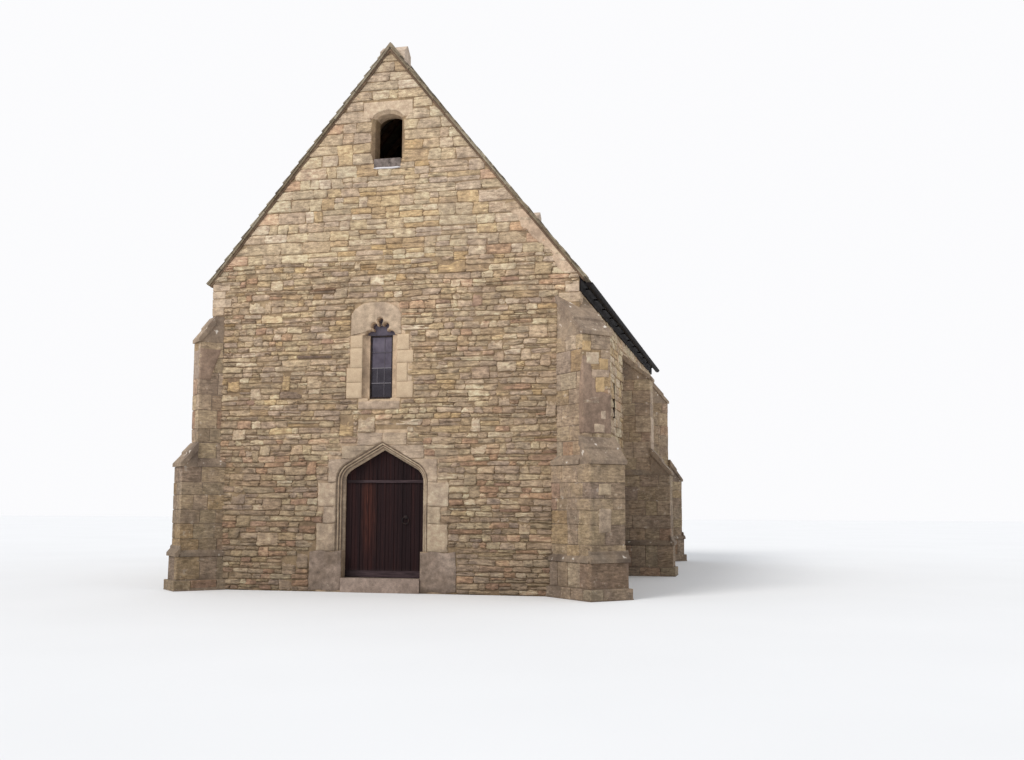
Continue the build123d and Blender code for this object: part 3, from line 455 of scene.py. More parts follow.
pale = Finish("studio_floor", roughness=0.9, specular=0.1)
pale.colour(pale.ramp(pale.noise(0.3, 2.0, 0.5), [(0.3, (0.74, 0.74, 0.745, 1)),
                                                  (0.7, (0.76, 0.76, 0.765, 1))]))
floor.data.materials.append(pale.material)
print("all finishes:", len(bpy.data.materials))

# %% [markdown]
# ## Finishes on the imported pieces
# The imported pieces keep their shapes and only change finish. The walls behind the laid stones become the
# lime mortar of the joints outside, and a pale limewash inside, chosen by where a point lies between the
# wall faces.

# %% Limewash inside
inner_x, inner_y = 2.27, 4.77
reach_x = mortar.math("LESS_THAN", mortar.math("ABSOLUTE", mortar.axis("X")), inner_x)
reach_y = mortar.math("LESS_THAN", mortar.math("ABSOLUTE", mortar.axis("Y")), inner_y)
inside = mortar.math("MULTIPLY", reach_x, reach_y)
outside = mortar.shader.inputs["Base Color"].links[0].from_socket
washed = mortar.ramp(mortar.noise(4.0, 4.0, 0.6), [(0.3, (206, 196, 178)), (0.7, (224, 216, 200))])
mortar.colour(mortar.mix(inside, outside, washed))

# %% Assign
wall_nodes = [n for n in nodes if "wall" in n and n != "wall_plates" or n.endswith("gable")]
finishes = {n: mortar for n in wall_nodes}
finishes |= {n: buttress_core for n in nodes if n.endswith("buttress")}
finishes |= {n: dressed for n in ("door_arch", "door_jamb_left", "door_jamb_right", "lancet_heads",
                                  "lancet_jambs", "lancet_sills", "opening_heads")}
finishes |= {n: saddle_stone for n in ("apex_stones", "ridge_capping")}
finishes |= {n: roof_plain for n in ("roof_left", "roof_right", "verge_front", "verge_back")}
finishes |= {"door_leaf": oak, "door_fillets": oak, "door_rails": rail_oak_and_highlight}
finishes |= {n: iron for n in ("door_straps", "door_pintles", "door_ring")}
finishes |= {n: black for n in ("gutters", "gutter_brackets", "eaves_boards")}
finishes |= {n: old_oak for n in ("rafters", "wall_plates")}
finishes |= {"lancet_glass": glass, "lead_trays": lead, "floor": plain_paving, "threshold": step_stone}
for name, node in nodes.items():
    finish = finishes[name].material
    if node.data.materials:
        for index in range(len(node.material_slots)):
            node.material_slots[index].material = finish
    else:
        node.data.materials.append(finish)
print("finished packed pieces:", len(finishes))

# %% [markdown]
# ## Laying rubble
# A rubble wall is built in rough courses: beds that rise and fall a little, stones of every length between
# them, here and there a big stone that takes up two courses or a thin pair that shares one. The code does
# what the mason does. It works upwards course by course, keeps clear of the openings, and gives each stone
# four corners. Every stone then becomes a small cushion shape: a ring of twelve points sunk in the mortar,
# a rounded edge and an uneven face.

# %% Courses


def free_spans(spans, taken):
    """The parts of the spans that no taken stretch covers."""
    parts = []
    for low, high in spans:
        cuts = sorted((max(a, low), min(b, high)) for a, b in taken if b > low and a < high)
        start = low
        for a, b in cuts:
            if a > start:
                parts.append((start, a))
            start = max(start, b)
        if high > start:
            parts.append((start, high))
    return parts


def lay(levels, spans, rng, width, jumper=0.08, pair=0.12, joint=0.010, wave=0.012, features=(),
        stepped=4.85):
    """Stones as four corners each, counter-clockwise from the lower left, between the bed levels.

    spans(v) gives the free stretches at height v, width the usual stone length, and features are single
    stones (u0, u1, v0, v1, tone, hue) that are set first. Below the height stepped the ends are upright.
    """
    stones, looks = [], []
    for u0, u1, v0, v1, tone, hue in features:
        g = joint / 2
        stones.append([(u0 + g, v0 + g), (u1 - g, v0 + g), (u1 - g, v1 - g), (u0 + g, v1 - g)])
        looks.append((tone, hue))
    phases = rng.uniform(0, 6.28, (len(levels) + 2, 2))

    def bed_line(k, u):
        """Height of bed k at u: its level and a slow wave."""
        sway = np.sin(u * 1.7 + phases[k, 0]) + 0.6 * np.sin(u * 4.3 + phases[k, 1])
        return levels[min(k, len(levels) - 1)] + wave * sway * (k > 0)

    coming = []
    for k in range(len(levels) - 1):
        taken, coming = coming, []
        low, high = levels[k], levels[k + 1]
        middle = (low + high) / 2
        quarter = 0.25 * (high - low)
        held = [(f[0], f[1]) for f in features if f[2] < high - quarter and f[3] > low + quarter]
        rows = [free_spans(spans(v), taken + held) for v in (low + 1e-4, middle, high - 1e-4)]
        if not len(rows[0]) == len(rows[1]) == len(rows[2]):
            rows = [rows[1]] * 3
        for (a0, b0), (am, bm), (a1, b1) in zip(*rows):
            if high < stepped:
                a0 = am = a1 = max(a0, am, a1)
                b0 = bm = b1 = min(b0, bm, b1)
            if bm - am < 0.05:
                continue
            length = rng.lognormal(np.log(width), 0.42, 64)
            ends = am + np.cumsum(np.clip(length, 0.5 * width, 2.6 * width))
            ends = ends[ends < bm - 0.45 * width]
            edges = np.concatenate([[am], ends, [bm]])
            for i in range(len(edges) - 1):
                left, right = edges[i], edges[i + 1]
                tilt_l, tilt_r = rng.normal(0, 0.010, 2)
                lb, lt = (a0, a1) if i == 0 else (left - tilt_l, left + tilt_l)
                rb, rt = (b0, b1) if i == len(edges) - 2 else (right - tilt_r, right + tilt_r)
                g = joint / 2
                top = k + 1
                next_top = levels[min(k + 2, len(levels) - 1)]
                room = not any(f[0] < right and f[1] > left and f[2] < next_top and f[3] > high
                               for f in features)
                inner = 0 < i < len(edges) - 2
                if inner and room and k < len(levels) - 2 and rng.random() < jumper:
                    above = free_spans(spans((high + levels[k + 2]) / 2), [])
                    if any(a <= left and b >= right for a, b in above):
                        top = k + 2
                        coming.append((left, right))
                sink = g + rng.uniform(-0.25, 0.6, 4) * joint * 0.6
                v_low = [bed_line(k, lb) + sink[0], bed_line(k, rb) + sink[1]]
                v_top = [bed_line(top, rt) - sink[2], bed_line(top, lt) - sink[3]]
                e = 0.35 * g
                quad = [(lb + e, v_low[0]), (rb - e, v_low[1]), (rt - e, v_top[0]), (lt + e, v_top[1])]
                if top == k + 1 and rng.random() < pair:
                    cut = rng.uniform(0.38, 0.62)
                    mid_l = v_low[0] + cut * (v_top[1] - v_low[0])
                    mid_r = v_low[1] + cut * (v_top[0] - v_low[1])
                    ul, ur = lb + cut * (lt - lb) + g, rb + cut * (rt - rb) - g
                    stones.append([quad[0], quad[1], (ur, mid_r - g / 2), (ul, mid_l - g / 2)])
                    stones.append([(ul, mid_l + g / 2), (ur, mid_r + g / 2), quad[2], quad[3]])
                    looks += [(rng.random(), rng.random()), (rng.random(), rng.random())]
                else:
                    stones.append(quad)
                    looks.append((rng.random(), rng.random()))
    return np.array(stones), np.array(looks)


def bed_levels(start, stop, low, high, rng):
    """Bed heights from start to stop with courses between low and high."""
    steps = rng.uniform(low, high, int((stop - start) / low) + 2)
    levels = start + np.concatenate([[0], np.cumsum(steps)])
    levels = levels[levels < stop - 0.5 * low]
    return np.concatenate([levels, [stop]])


# %% Cushion-shaped stones


def stone_numbers(shape, tone=1.0, hue=1.0, share=1.0):
    """The stone attribute for points of a given shape: tone, hue, share or wear, and one that stays full."""
    stone = np.ones((*shape, 4))
    stone[..., 0], stone[..., 1], stone[..., 2] = tone, hue, share
    return stone


def repeated(points, quads, tris, stone):
    """One pattern of faces for many equal sets of points; points and stone hold (set, point of the set,
    numbers).
    """
    start = (np.arange(points.shape[0]) * points.shape[1])[:, None, None]
    quads, tris = (quads[None] + start).reshape(-1, 4), (tris[None] + start).reshape(-1, 3)
    return points.reshape(-1, 3), quads, tris, stone.reshape(-1, 4)


def cushions(stones, looks, place, rng, proud=(0.010, 0.022), sides=3, corner=0.011,
             round_off=(0.009, 0.009), rough=0.0045, lean=0.045, tip=0.0, wobble=(0.06, 0.004),
             sunk=0.012):
    """Points and faces of all stones at once.

    Each side of a stone gives a few outline points, drawn in at the corners. Rings of that outline stand at
    rising heights: in the mortar, at the edge, on the face's rim and half way in, and one point closes the
    middle. place(u, v, h) carries wall coordinates and height into the chapel's frame. wobble is how far an
    outline point may stray, as a share of half the stone and at most in metres; tip leans every face
    forward at its foot.
    """
    n = len(stones)
    side = np.roll(stones, -1, axis=1) - stones
    near = corner * rng.uniform(0.5, 2.4, (n, 4, 1)) / np.linalg.norm(side, axis=2, keepdims=True)
    near = np.clip(near, 0.03, 0.32)
    steps = [near + (1 - 2 * near) * share for share in np.linspace(0, 1, sides)]
    outline = np.stack([stones + side * step for step in steps], axis=2).reshape(n, -1, 2)
    count = outline.shape[1]
    centre = stones.mean(axis=1, keepdims=True)
    half = (stones.max(axis=1) - stones.min(axis=1))[:, None, :] / 2
    half = np.maximum(half, 0.02)
    slip = np.minimum(half * wobble[0], wobble[1])
    outline = outline + rng.uniform(-1, 1, outline.shape) * slip
    height = rng.uniform(*proud, (n, 1))
    slope = rng.normal(0, lean, (n, 1, 2)) - np.array((0, tip))
    rings, levels = [], []
    for shrink, lift, shake in ((0.0, None, 0.0), (0.0, 0.40, 0.15), (1.0, 0.90, 0.5), (None, 1.0, 1.0)):
        if shrink is None:
            ring = centre + (outline - centre) * 0.52
        else:
            ring = centre + (outline - centre) * (1 - shrink * np.minimum(np.array(round_off) / half, 0.4))
        if lift is None:
            level = np.full((n, count), -sunk)
        else:
            level = height * lift + rng.normal(0, 1, (n, count)) * rough * shake
            level = level + ((ring - centre) * slope).sum(axis=2)
        rings.append(ring)
        levels.append(level)
    if sides == 2:
        rings, levels = rings[:3], levels[:3]
    tops = height[:, 0] + rng.normal(0, rough, n)
    flat = np.concatenate([np.concatenate(rings, axis=1), centre], axis=1)
    lifts = np.concatenate([np.concatenate(levels, axis=1), tops[:, None]], axis=1)
    points = place(flat[..., 0], flat[..., 1], lifts)
    ring_count = len(rings)
    index = np.arange(count)
    after = np.roll(index, -1)
    quads = np.concatenate([
        np.stack([index + r * count, after + r * count, after + (r + 1) * count, index + (r + 1) * count],
                 axis=1)
        for r in range(ring_count - 1)
    ])
    last = (ring_count - 1) * count
    tris = np.stack([index + last, after + last, np.full(count, ring_count * count)], axis=1)
    share = looks[:, 2:3] if looks.shape[1] > 2 else 0.0
    stone = stone_numbers(points.shape[:2], looks[:, 0:1], looks[:, 1:2], share)
    return repeated(points, quads, tris, stone)


def wall_place(side):
    """Function that carries wall coordinates (u to the right seen from outside, v up, h outwards) into the
    frame.
    """
    origin, across, out = {
        "front": ((0, -half_length, 0), (1, 0, 0), (0, -1, 0)),
        "back": ((0, half_length, 0), (-1, 0, 0), (0, 1, 0)),
        "right": ((half_width, 0, 0), (0, 1, 0), (1, 0, 0)),
        "left": ((-half_width, 0, 0), (0, -1, 0), (-1, 0, 0)),
    }[side]
    origin, across, out = np.array(origin), np.array(across), np.array(out)

    def place(u, v, h):
        flat = np.stack([np.zeros_like(v), np.zeros_like(v), v], axis=-1)
        return origin + u[..., None] * across + flat + h[..., None] * out

    return place


def dress(name, made, finish, body="building", smooth=True):
    """Makes the object of a set of stones, gives it its finish and lets it ride on its body."""
    points, quads, tris, stone = made
    piece = surface(name, points, quads, tris, stone, smooth)
    piece.data.materials.append(finish.material)
    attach(piece, body)
    print(f"{name}: {len(quads) * 2 + len(tris)} triangles")
    return piece


# %% [markdown]
# ## Squared blocks
# Quoins, buttress stones, jambs and slabs are squared blocks. Each is a box whose edges are cut off by a
# narrow bevel: every corner of the box becomes three points, one for each face that meets there. The
# pattern of faces is worked out once for a unit box and then repeated for all blocks.

# %% Bevelled boxes
signs = np.array([(x, y, z) for x in (-1, 1) for y in (-1, 1) for z in (-1, 1)])


def box_pattern():
    """Faces of one bevelled box over points numbered 3 * corner + axis, all turned outwards."""
    points = np.array([sign * (1 - 0.1 * (1 - np.eye(3)[axis])) for sign in signs for axis in range(3)])
    quads, tris = [], [[3 * c, 3 * c + 1, 3 * c + 2] for c in range(8)]
    for axis in range(3):
        others = [a for a in range(3) if a != axis]
        for side in (-1, 1):
            ring = [c for c in range(8) if signs[c][axis] == side]
            ring.sort(key=lambda c: np.arctan2(signs[c][others[1]], signs[c][others[0]]))
            quads.append([3 * c + axis for c in ring])
        for c in range(8):
            if signs[c][axis] == -1:
                d = int(np.argmax([(signs[e] == signs[c] * (1 - 2 * np.eye(3)[axis])).all()
                                   for e in range(8)]))
                quads.append([3 * c + others[0], 3 * d + others[0], 3 * d + others[1], 3 * c + others[1]])
    turned = []
    for face in quads + tris:
        corners = points[face]
        normal = np.cross(corners[1] - corners[0], corners[2] - corners[0])
        turned.append(face if normal @ corners.mean(axis=0) > 0 else face[::-1])
    return np.array(turned[: len(quads)]), np.array(turned[len(quads):])


box_quads, box_tris = box_pattern()


def blocks(low, high, tones, rng, place, bevel=0.007, shake=0.003):
    """Bevelled boxes between the low and high corners, their corners moved a little, carried by
    place(points).
    """
    low, high = np.asarray(low, float), np.asarray(high, float)
    n = len(low)
    middle, half = (low + high) / 2, (high - low) / 2
    corner = middle[:, None, :] + signs[None] * half[:, None, :] + rng.uniform(-shake, shake, (n, 8, 3))
    inset = signs[:, None, :] * (1 - np.eye(3))[None]
    cut = np.minimum(bevel, half.min(axis=1) * 0.4)[:, None, None, None]
    points = corner[:, :, None, :] - cut * inset[None]
    points = place(points.reshape(n, 24, 3))
    stone = stone_numbers((n, 24), np.asarray(tones)[:, None], rng.random(n)[:, None], 0.5)
    return repeated(points, box_quads, box_tris, stone)


def outwards(made):
    """The same boxes, with their faces turned round if place has mirrored them."""
    points, quads, tris, stone = made
    a, b, c = (points[quads[0, i]] for i in range(3))
    if np.cross(b - a, c - a) @ ((a + b + c) / 3 - points[:24].mean(axis=0)) < 0:
        quads, tris = quads[:, ::-1], tris[:, ::-1]
    return points, quads, tris, stone


def here(points):
    """Points that are already in the chapel's frame."""
    return points


def joined(sets):
    """Several sets of points and faces as one."""
    points, quads, tris, stone = zip(*sets)
    starts = np.cumsum([0] + [len(p) for p in points[:-1]])
    quads, tris = ([faces + k for faces, k in zip(kind, starts)] for kind in (quads, tris))
    return tuple(np.concatenate(part) for part in (points, quads, tris, stone))


# %% [markdown]
# ## The entrance front
# Up to the eaves the wall is thin-coursed rubble, courses of about nine centimetres. In the gable the
# stones are larger and squarer, most of all along the verges. Stretches that belong to the doorway, the
# lancet and the gable opening are kept free, height by height, as a list of gaps.

# %% Spans of the front
# half widths of the buttress stages from the top down, with the levels of their drips
full_stages = ((3.93, 0.250), (1.975, 0.310), (0.54, 0.330))
slender_stages = ((4.03, 0.155), (1.975, 0.215), (0.54, 0.235))
# levels at which their sloping heads end on the walls
slender_top, full_top, back_top, middle_top = 4.48, 4.55, 4.64, 4.28


def half_at(v, stages, head_top):
    """Half width of a buttress at height v, nothing above its head."""
    half = 0.0
    for drip, stage_half in stages:
        half = stage_half if v < drip else half
    return stages[0][1] if not half and v < head_top else half


def buttress_reach(v, stages, head_top):
    """How far from the corner a diagonal buttress covers a wall at height v."""
    return half_at(v, stages, head_top) * np.sqrt(2)


# quoins above the buttresses: bottom, top, length along the front, length along the side
left_quoins = ((4.49, 4.63, 0.20, 0.34), (4.63, 4.78, 0.33, 0.22), (4.78, 4.91, 0.22, 0.36),
               (4.91, 5.04, 0.30, 0.20))
right_quoins = ((4.50, 4.66, 0.33, 0.0), (4.66, 4.84, 0.22, 0.0))


# outline of a lancet's head stone: levels over the top of the light, left edge, right edge
lancet_top = 4.090
head_levels = np.array((0.003, 0.34, 0.43, 0.495, 0.535))
head_left = np.array((-0.496, -0.492, -0.43, -0.33, -0.19))
head_right = np.array((0.358, 0.352, 0.30, 0.19, 0.06))


def dressing_gaps(v, x):
    """Stretches that a lancet's dressings cover at height v, with the lancet's middle at x."""
    steps = ((2.87, 3.06, 0.36, 0.37), (3.06, 3.325, 0.565, 0.575), (3.325, 3.56, 0.565, 0.475),
             (3.56, 3.63, 0.505, 0.475), (3.63, 3.83, 0.505, 0.575), (3.83, 4.085, 0.505, 0.505))
    for low, high, left, right in steps:
        if low <= v < high:
            return [(x - left, x + right)]
    if 4.085 <= v < lancet_top + 0.535:
        edges = [np.interp(v - lancet_top, head_levels, side) for side in (head_left, head_right)]
        return [(x + edges[0] - 0.006, x + edges[1] + 0.006)]
    return []


def gable_ends(v, low, high, ridge=ridge_shift, inset=0.01):
    """Narrows a span to the gable's slopes at height v, with the ridge's middle at ridge."""
    run = (gable_apex - v) / slope
    return max(low, ridge - run + inset), min(high, ridge + run - inset)


def opening_gaps(v, x):
    """Stretch that a gable opening covers at height v, its middle at x: from below tray, opening and head
    stone.
    """
    if not 6.84 < v < 7.985:
        return []
    half = 0.235 if v <= 6.98 else 0.285 if v < 7.69 else 0.43
    return [(x - half, x + half)]


# stones round the doorway: bottom, top, outer edge at the left and at the right
door_stones = (
    (0.0, 0.640, -1.28, 1.16), (0.640, 1.075, -1.165, 1.02), (1.075, 1.345, -1.05, 0.90),
    (1.345, 1.725, -1.15, 1.03), (1.725, 2.095, -0.98, 0.84), (2.095, 2.31, -0.76, 0.62),
    (2.31, 2.515, -0.50, 0.33),
)


def front_spans(v):
    """Free stretches of the entrance front at height v."""
    left = buttress_reach(v, slender_stages, slender_top)
    right = buttress_reach(v, full_stages, full_top)
    low, high = -half_width + left - 0.004, half_width - right + 0.004
    for z0, z1, reach, _ in left_quoins:
        low = -half_width + reach + 0.006 if z0 <= v < z1 else low
    for z0, z1, reach, _ in right_quoins:
        high = half_width - reach - 0.006 if z0 <= v < z1 else high
    if v > eaves_level - 0.05:
        low, high = gable_ends(v, low, high)
    gaps = []
    for z0, z1, left_edge, right_edge in door_stones:
        if z0 <= v < z1:
            gaps.append((left_edge - 0.005, right_edge + 0.005))
    gaps += dressing_gaps(v, lancet_x) + opening_gaps(v, opening_x)
    return free_spans([(low, high)], gaps)


# %% Lay the front
rng = np.random.default_rng(11)
front = wall_place("front")
gable_foot, back_gable_foot = 5.32, 5.3
low_levels = bed_levels(0.01, gable_foot, 0.075, 0.112, rng)
front_features = (
    (-2.064, -1.845, 4.87, 5.047, 0.93, 0.55), (-2.176, -1.995, 2.151, 2.332, 0.92, 0.5),
    (-1.83, -1.318, 3.60, 3.72, 0.88, 0.5), (-0.50, -0.20, 2.52, 2.78, 0.95, 0.4),
    (-0.80, -0.57, 2.46, 2.76, 0.72, 0.95), (0.62, 0.84, 4.02, 4.15, 0.85, 0.2),
    (2.30, 2.606, 3.965, 4.179, 0.80, 0.15), (-1.85, -1.462, 3.081, 3.201, 0.10, 0.25),
    (-1.568, -0.958, 3.725, 3.785, 0.04, 0.3), (-1.74, -1.50, 0.26, 0.48, 0.30, 0.4),
    (-1.49, -1.295, 0.36, 0.60, 0.34, 0.4), (-1.257, -1.06, 1.08, 1.18, 0.26, 0.0),
    (-1.462, -1.175, 0.915, 1.035, 0.18, 0.02), (-2.789, -2.569, 3.208, 3.396, 0.80, 1.0),
    (-2.515, -2.305, 5.006, 5.108, 0.42, 0.0), (-1.807, -1.675, 3.21, 3.52, 0.80, 0.95),
    (2.574, 2.735, 2.72, 3.0, 0.88, 0.3),
)
stones, looks = lay(low_levels, front_spans, rng, 0.21, jumper=0.07, pair=0.10, features=front_features)


def front_looks(stones, looks, rng, kept=0):
    """Tone, hue and share of the gable's palette for each stone; the first kept ones keep their own tone
    and hue.

    The share grows from nothing at the eaves to all a metre higher, sooner along the slopes. The hue leans
    to yellow in the middle of the gable and to pinkish grey along the slopes and at the foot.
    """
    x, z = stones.mean(axis=1).T
    edge = (gable_apex - z) / slope - np.abs(x - ridge_shift)
    near = np.exp(-np.maximum(edge, 0) / 0.35) * (z > 4.7)
    share = np.clip((z - 4.95) / 1.0 + near + rng.normal(0, 0.18, len(z)), 0, 1)
    yellow = 0.28 * np.exp(-(((x - 0.2) / 1.1) ** 2)) * (z > 5.0) - 0.35 * near - 0.12 * (z < 2.4)
    free = np.arange(len(z)) >= kept
    tone = np.where(free, 0.32 + 0.70 * looks[:, 0], looks[:, 0])
    tone = tone + free * (0.10 * near - 0.06 * (z < 1.2) + 0.02 * share)
    return np.stack([np.clip(tone, 0, 1), np.clip(looks[:, 1] + free * yellow, 0, 1), share], axis=1)


looks = front_looks(stones, looks, rng, len(front_features))
made = cushions(stones, looks, front, rng, proud=(0.007, 0.026), sides=4, round_off=(0.004, 0.012),
                rough=0.006, tip=0.15, wobble=(0.17, 0.010))
dress("front_rubble", made, rubble)

gable_levels = bed_levels(gable_foot, gable_apex - 0.10, 0.15, 0.21, rng)


def gable_stones(levels, spans, rng):
    """Squared stones, with the middle of the lower gable split into thinner ones."""
    stones, _ = lay(levels, spans, rng, 0.30, jumper=0.03, pair=0.0, joint=0.009, wave=0.006)
    middle = stones.mean(axis=1)
    split = (np.abs(middle[:, 0] - 0.2) < 1.5 - 0.35 * (middle[:, 1] - 5.3)) & (middle[:, 1] < 6.9)
    split &= rng.random(len(stones)) < 0.8
    lower, upper = stones[split].copy(), stones[split].copy()
    cut = rng.uniform(0.4, 0.6, (split.sum(), 1))
    left = stones[split][:, 0] + cut * (stones[split][:, 3] - stones[split][:, 0])
    right = stones[split][:, 1] + cut * (stones[split][:, 2] - stones[split][:, 1])
    lower[:, 3], lower[:, 2] = left - (0, 0.004), right - (0, 0.004)
    upper[:, 0], upper[:, 1] = left + (0, 0.004), right + (0, 0.004)
    stones = np.concatenate([stones[~split], lower, upper])
    return stones, rng.random((len(stones), 2))


stones, looks = gable_stones(gable_levels, front_spans, rng)
looks = front_looks(stones, looks, rng)
made = cushions(stones, looks, front, rng, proud=(0.007, 0.016), sides=4, round_off=(0.006, 0.009),
                rough=0.003, lean=0.025, tip=0.05, wobble=(0.10, 0.010))
dress("front_gable_stones", made, rubble)

# %% [markdown]
# ## Back and sides
# The photograph doesn't show them, or hardly. They repeat the front's materials: the same rubble in
# slightly taller courses, the same squared stones in the gable. Far more wall than front, so each stone has
# two points a side instead of three.

# %% Back wall and gable


def back_spans(v):
    """Free stretches of the back at height v, u to the right seen from outside."""
    reach = buttress_reach(v, full_stages, back_top)
    low, high = -half_width + reach - 0.004, half_width - reach + 0.004
    if v > eaves_level - 0.05:
        low, high = gable_ends(v, low, high, -ridge_shift)
    return free_spans([(low, high)], dressing_gaps(v, -lancet_x) + opening_gaps(v, -opening_x))


back = wall_place("back")
stones, looks = lay(bed_levels(0.01, back_gable_foot, 0.10, 0.15, rng), back_spans, rng, 0.25)
looks[:, 0] = 0.25 + 0.55 * looks[:, 0]
dress("back_rubble", cushions(stones, looks, back, rng, sides=2, tip=0.10, wobble=(0.12, 0.010)), rubble)
levels = bed_levels(back_gable_foot, gable_apex - 0.10, 0.16, 0.22, rng)
stones, looks = lay(levels, back_spans, rng, 0.30, pair=0.1)
made = cushions(stones, looks, back, rng, proud=(0.007, 0.013), sides=2, rough=0.002, lean=0.02)
dress("back_gable_stones", made, squared)

# %% Side walls
board_foot = {"right": eaves_level - 0.269, "left": left_eaves - 0.269}
middle_stages = ((3.88, 0.265), (1.975, 0.290), (0.60, 0.310))


def side_spans(side):
    """Free stretches of a side wall as a function of height."""
    turn = 1 if side == "right" else -1

    def spans(v):
        reach = buttress_reach(v, full_stages, full_top)
        front_reach = buttress_reach(v, slender_stages, slender_top) if side == "left" else reach
        for z0, z1, _, length in left_quoins if side == "left" else ():
            front_reach = length + 0.006 if z0 <= v < z1 else front_reach
        low, high = -half_length + front_reach - 0.004, half_length - reach + 0.004
        if v > board_foot[side] + 0.02:
            low, high = (low, -5.16) if side == "left" else (0.0, 0.0)
        half = half_at(v, middle_stages, middle_top)
        parts = free_spans([(low, high)], [(-half + 0.004, half - 0.004)] if half else [])
        if side == "left":
            parts = [(-b, -a) for a, b in reversed(parts)]
        return free_spans(parts, [g for y in (-bay, bay) for g in dressing_gaps(v, turn * y)])

    return spans


for side in ("right", "left"):
    top = board_foot["right"] + 0.01 if side == "right" else left_eaves - 0.02
    levels = bed_levels(0.01, top, 0.13, 0.19, rng)
    stones, looks = lay(levels, side_spans(side), rng, 0.30, pair=0.2)
    # painted light: the right wall, which stands in shade, gets lighter tones than the left
    looks[:, 0] = (0.72 if side == "right" else 0.30) + 0.45 * looks[:, 0]
    made = cushions(stones, looks, wall_place(side), rng, sides=2, proud=(0.008, 0.020), tip=0.08,
                    wobble=(0.12, 0.010))
    dress(f"{side}_wall_stones", made, rubble)

# %% [markdown]
# ## Buttresses and quoins
# The buttresses are of squared blocks in courses. The end of a stage has one or two stones to a course,
# which run back by a long or a short step in turn, and shorter blocks fill the sides up to the wall. The
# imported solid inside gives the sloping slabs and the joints.

# %% Buttress stones


def stage_blocks(reach, half, z0, z1, root, rng, course=0.24):
    """Low and high corners of the blocks of one stage in the buttress's own axes."""
    count = max(1, int(round((z1 - z0) / course)))
    shift = np.concatenate([[0], rng.uniform(-0.2, 0.2, count - 1), [0]])
    edges = z0 + (z1 - z0) * (np.arange(count + 1) + shift) / count
    low, high = [], []
    for k in range(count):
        a, b = edges[k] + 0.003, edges[k + 1] - 0.003
        lift = rng.uniform(0.6, 1.2, 4) * proud
        cut = rng.choice((-1, 1)) * half * rng.uniform(0.1, 0.45)
        deep = rng.uniform(0.16, 0.26, 2) + np.roll((0.0, 0.14), k % 2)
        if rng.random() < 0.3:
            spans = [(-half - lift[1], half + lift[2], deep.mean())]
        else:
            spans = [(-half - lift[1], cut - 0.003, deep[0]), (cut + 0.003, half + lift[2], deep[1])]
        for y0, y1, depth in spans:
            low.append((reach - depth, y0, a))
            high.append((reach + lift[0], y1, b))
        for side, depth in ((-1, spans[0][2]), (1, spans[-1][2])):
            x = reach - depth - 0.006
            stop = -root(half) - 0.02
            while x > stop:
                length = min(rng.uniform(0.22, 0.42), x - stop)
                length = x - stop if x - stop - length < 0.1 else length
                outer = half + rng.uniform(0.5, 1.1) * proud
                y0, y1 = sorted((side * (half - 0.05), side * outer))
                low.append((x - length, y0, a))
                high.append((x, y1, b))
                x -= length + 0.006
    return low, high


def buttress_frame(x, y, turn):
    """Function that carries a buttress's own axes (outwards, across, up) into the chapel's frame."""
    c, s = np.cos(np.radians(turn)), np.sin(np.radians(turn))

    def place(points):
        u, v, w = points[..., 0], points[..., 1], points[..., 2]
        return np.stack([x + u * c - v * s, y + u * s + v * c, w], axis=-1)

    return place


def buttress_blocks(stages, reaches, root, rng):
    """All blocks of a two-stage buttress with plinth and footing course."""
    (z3, h3), (z2, h2), (z1, h1) = stages
    upper, lower, plinth = reaches
    low, high = [], []
    for reach, half, a, b, course in (
        (upper, h3, z2 + 0.10, z3, 0.27),
        (lower, h2, z1 + 0.06, z2, 0.25),
        (plinth, h1, 0.17, z1, 0.36),
        (plinth + 0.045, h1 + 0.045, 0.004, 0.165, 0.17),
    ):
        one = stage_blocks(reach, half, a, b, root, rng, course)
        low += one[0]
        high += one[1]
    return np.array(low), np.array(high)


corners = {
    "front_left": (-half_width, -half_length, -135, slender_stages, (0.23, 0.47, 0.51)),
    "front_right": (half_width, -half_length, -45, full_stages, (0.43, 0.69, 0.73)),
    "back_left": (-half_width, half_length, 135, full_stages, (0.32, 0.69, 0.73)),
    "back_right": (half_width, half_length, 45, full_stages, (0.32, 0.69, 0.73)),
    "left_middle": (-half_width, 0.0, 180, middle_stages, (0.55, 0.92, 0.96)),
    "right_middle": (half_width, 0.0, 0, middle_stages, (0.55, 0.92, 0.96)),
}
for name, (x, y, turn, stages, reaches) in corners.items():
    diagonal = "middle" not in name
    low, high = buttress_blocks(stages, reaches, (lambda h: h) if diagonal else (lambda h: 0.0), rng)
    # painted light: the middle buttress of the shaded right wall gets lighter tones than the others
    tones = (0.60 if name == "right_middle" else 0.15) + 0.6 * rng.random(len(low))
    tones += 0.32 * (name == "front_right") * (high[:, 1] < -0.15)
    made = blocks(low, high, tones, rng, buttress_frame(x, y, turn), shake=0.005)
    dress(f"{name}_buttress_stones", made, buttress_stone, smooth=False)

# %% Quoins above the buttresses
low, high = [], []
for z0, z1, along_front, along_side in left_quoins:
    low.append((-half_width - proud, -half_length - proud, z0 + 0.004))
    high.append((-half_width + along_front, -half_length + along_side, z1 - 0.004))
for z0, z1, along_front, along_side in right_quoins:
    low.append((half_width - along_front, -half_length - proud, z0 + 0.004))
    high.append((half_width - 0.002, -half_length + 0.2, z1 - 0.004))
made = blocks(low, high, rng.uniform(0.45, 0.85, len(low)), rng, here)
made[3][:, 1] = np.where(made[0][:, 0] < 0, 0.27, made[3][:, 1])
dress("corner_quoins", made, squared, smooth=False)

# %% [markdown]
# ## Dressed stones round the openings
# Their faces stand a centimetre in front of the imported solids, level with the rubble, and are cut to the
# openings. Each is a plate: a grid of points between two edges, whose outer ring drops a little for the
# worn arris and whose last ring goes back into the wall.

# %% Plates


